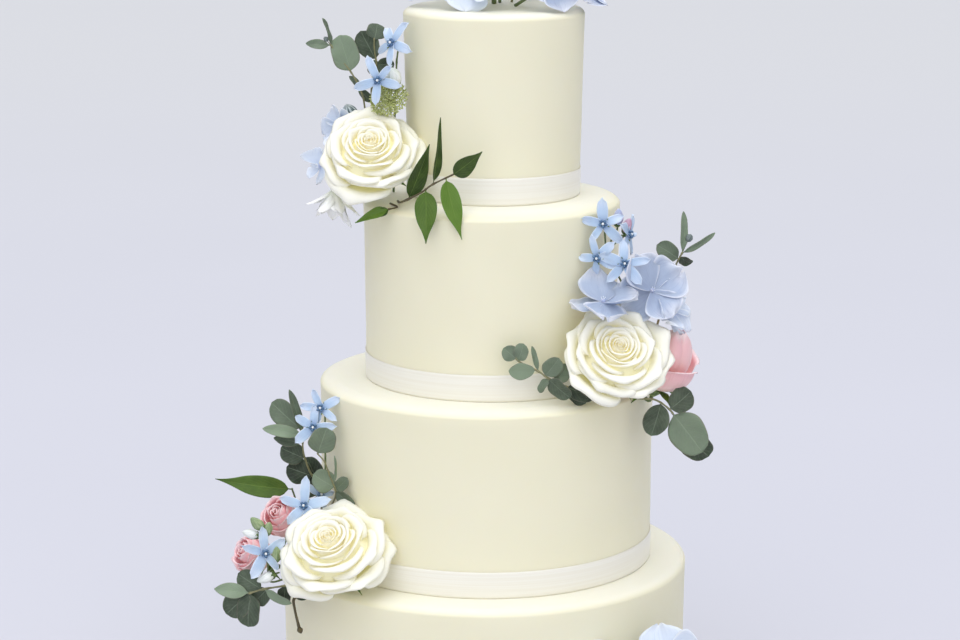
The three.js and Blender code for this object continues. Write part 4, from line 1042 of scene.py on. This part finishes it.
# Cluster D, in front of the foot tier's right side.
cream_rose("d", (6, -20, 40), (18, 40, 20), (2, 6, 0.8), 5.3)
pink_rose("d", (46, 6, 32), (66, 40, 0), (22, 13, 0.8), 35, 4)
hydrangea("d_left", 1.2, [(0, 18, 1), (0, 20, 54), (-4, 14, 80)], [
    pale_head(6, 0.98, (2, -12, 89.5), (0, 30, 10), 44, 4, 2),
    pale_head(7, 0.85, (-42, -18, 88), (-14, 40, 40), 34, 3, 2)])
hydrangea("d_right", 1.2, [(16, 22, 1), (22, 20, 48), (30, 10, 62)], [
    pale_head(8, 0.98, (36, 0, 73), (26, 20, 30), 38, 4, 2),
    pale_head(9, 0.8, (52, 16, 66), (75, 12, 0), 32, 3, 2)])
eucalyptus("d_left", 0.8, [(-4, -14, 1.5), (-16, -26, 2.5), (-30, -36, 6), (-46, -44, 10), (-60, -50, 17)], [
    (0.98, 150, 20, 19, 10, 10, 0.6), (0.85, 60, 19, 18, -10, 20, 0.3), (0.7, 186, 17, 15, 24, 30, 0.5),
    (0.55, 100, 18, 17, -5, 15, 0.2)])
eucalyptus("d_right", 0.8, [(20, -6, 1.5), (32, -12, 2.5), (46, -16, 6), (60, -20, 9), (72, -24, 15)], [
    (0.98, 30, 20, 19, 10, -10, 0.5), (0.82, 110, 19, 18, -10, 20, 0.2), (0.6, 8, 17, 15, 34, 20, 0.6)])

# Cluster T, on top.
cream_rose("t", (2, -10, 48), (6, 50, 0), (0, 12, 0.5), 1.1)
hydrangea("t_left", 1.2, [(-10, -2, 0.5), (-18, -6, 8), (-28, -12, 10)], [
    pale_head(10, 0.6, (-17, -31, 18), (-24, 24, 0), 40),
    pale_head(11, 0.98, (-50, -4, 22), (-75, 30, 20), 40)])
hydrangea("t_right", 1.2, [(14, -4, 0.5), (26, -8, 8), (38, -10, 10)], [
    floret_head(12, 0.8, (39, -30, 18), (20, 30, 10), 42),
    floret_head(13, 0.98, (63, -4, 16), (62, 26, 30), 42)])
hydrangea("t_back", 1.2, [(4, 20, 0.5), (4, 28, 12), (2, 34, 18)], [
    floret_head(14, 0.98, (26, 38, 26), (155, 24, 0), 42),
    floret_head(15, 0.9, (-20, 38, 26), (205, 26, 30), 42)])
star_spray("t", 0.9, [(-8, 14, 0.5), (-20, 20, 40), (-32, 18, 60)], [
    star_head(12, 0.98, (-30, 8, 70), (-20, 30, 20)), star_head(13, 0.55, (-46, 6, 55), (-45, 20, 0))])
eucalyptus("t_left", 0.8, [(-8, 22, 0.5), (-22, 24, 30), (-40, 22, 50), (-54, 20, 62)], [
    (0.98, 140, 19, 18, 0, 10, 0.4), (0.82, 205, 19, 18, 10, 20, 0.6), (0.72, 80, 18, 17, -14, -15, 0.2)])
eucalyptus("t_right", 0.8, [(12, 20, 0.5), (22, 20, 34), (38, 20, 52), (50, 18, 66)], [
    (0.98, 50, 19, 18, 0, 10, 0.4), (0.82, -20, 19, 18, 10, 20, 0.6), (0.72, 105, 18, 17, -10, -15, 0.2)])


# ---------------------------------------------------------------- floor, light and camera

# Places and sizes of the stage in metres, powers of its lamps in watts.
FLOOR_HALF = 16.0
WORLD_BASE, WORLD_ABOVE, WORLD_FRONT = 0.16, 2.4, 1.4
LAMPS_AIM = (0, 0, 0.3)
KEY_AT, KEY_SIZE, KEY_POWER, KEY_COLOUR = (-1.0, -2.3, 1.9), 1.4, 3.0, (1.0, 0.985, 0.95)
ABOVE_AT, ABOVE_SIZE, ABOVE_POWER, ABOVE_COLOUR = (0.0, -0.5, 2.4), 1.8, 7.0, (1.0, 0.99, 0.96)
# The camera that matches the photo: its lens and sensor in millimetres, its dip and roll in degrees.
CAMERA_AT = (-0.0036, -1.86238, 0.69357)
CAMERA_LENS, CAMERA_SENSOR, CAMERA_DIP, CAMERA_ROLL = 103.02, 36.0, 12.153, 0.142


def put(name, data):
    obj = bpy.data.objects.new(name, data)
    bpy.context.scene.collection.objects.link(obj)
    return obj


def floor():
    mesh = bpy.data.meshes.new("floor")
    corners = [(FLOOR_HALF * x, FLOOR_HALF * y, 0) for x, y in ((-1, -1), (1, -1), (1, 1), (-1, 1))]
    mesh.from_pydata(corners, [], [(0, 1, 2, 3)])
    look = Look("pale_floor", 0.75)
    pattern = look.noise(look.place(), 1.2, 2.0)
    # Painted shade: the floor is darker near the cake, where the lamps light it most, and paler towards the
    # back, so that it looks evenly lit.
    shaded_near = look.mix(look.span(pattern, 0.3, 0.7), (199, 199, 205), (201, 201, 207))
    look.colour(look.mix(look.span(look.parts(look.place())[1], 0.0, 4.5), shaded_near, (205, 205, 204)))
    mesh.materials.append(look.material)
    put("floor", mesh)


def area_light(name, place, size, power, colour):
    data = bpy.data.lights.new(name, "AREA")
    data.shape = "DISK"
    data.size = size
    data.energy = power
    data.color = colour
    lamp = put(name, data)
    lamp.location = place
    lamp.rotation_euler = (Vector(LAMPS_AIM) - Vector(place)).to_track_quat("-Z", "Y").to_euler()


def studio():
    """Soft daylight: a world bright overhead and in front, a weak key from the left and a lamp above."""
    world = bpy.data.worlds.new("studio")
    world.use_nodes = True
    nodes, links = world.node_tree.nodes, world.node_tree.links
    background = nodes["Background"]
    background.inputs["Color"].default_value = linear(226, 228, 236)
    split = nodes.new("ShaderNodeSeparateXYZ")
    links.new(nodes.new("ShaderNodeTexCoord").outputs["Generated"], split.inputs[0])

    def calculate(operation, a, b):
        node = nodes.new("ShaderNodeMath")
        node.operation = operation
        for socket, item in zip(node.inputs, (a, b)):
            if isinstance(item, bpy.types.NodeSocket):
                links.new(item, socket)
            else:
                socket.default_value = item
        return node.outputs[0]
    strength = WORLD_BASE
    for axis, sign, amount in ((2, 1, WORLD_ABOVE), (1, -1, WORLD_FRONT)):
        toward = calculate("MAXIMUM", calculate("MULTIPLY", split.outputs[axis], sign), 0.0)
        brighter = calculate("MULTIPLY", calculate("MULTIPLY", toward, toward), amount)
        strength = calculate("ADD", brighter, strength)
    links.new(strength, background.inputs["Strength"])
    bpy.context.scene.world = world
    area_light("key", KEY_AT, KEY_SIZE, KEY_POWER, KEY_COLOUR)
    area_light("above", ABOVE_AT, ABOVE_SIZE, ABOVE_POWER, ABOVE_COLOUR)


def camera():
    data = bpy.data.cameras.new("camera")
    data.sensor_width = CAMERA_SENSOR
    data.lens = CAMERA_LENS
    data.clip_end = 100.0
    obj = put("camera", data)
    pitch, roll = math.radians(90 - CAMERA_DIP), math.radians(CAMERA_ROLL)
    turned = Matrix.Rotation(pitch, 4, "X") @ Matrix.Rotation(roll, 4, "Z")
    obj.matrix_world = Matrix.Translation(CAMERA_AT) @ turned
    bpy.context.scene.camera = obj


floor()
studio()
camera()
bpy.context.scene.view_settings.view_transform = "Standard"
light_paths = bpy.context.scene.cycles
light_paths.max_bounces = 24
light_paths.diffuse_bounces = 16
light_paths.transmission_bounces = 16
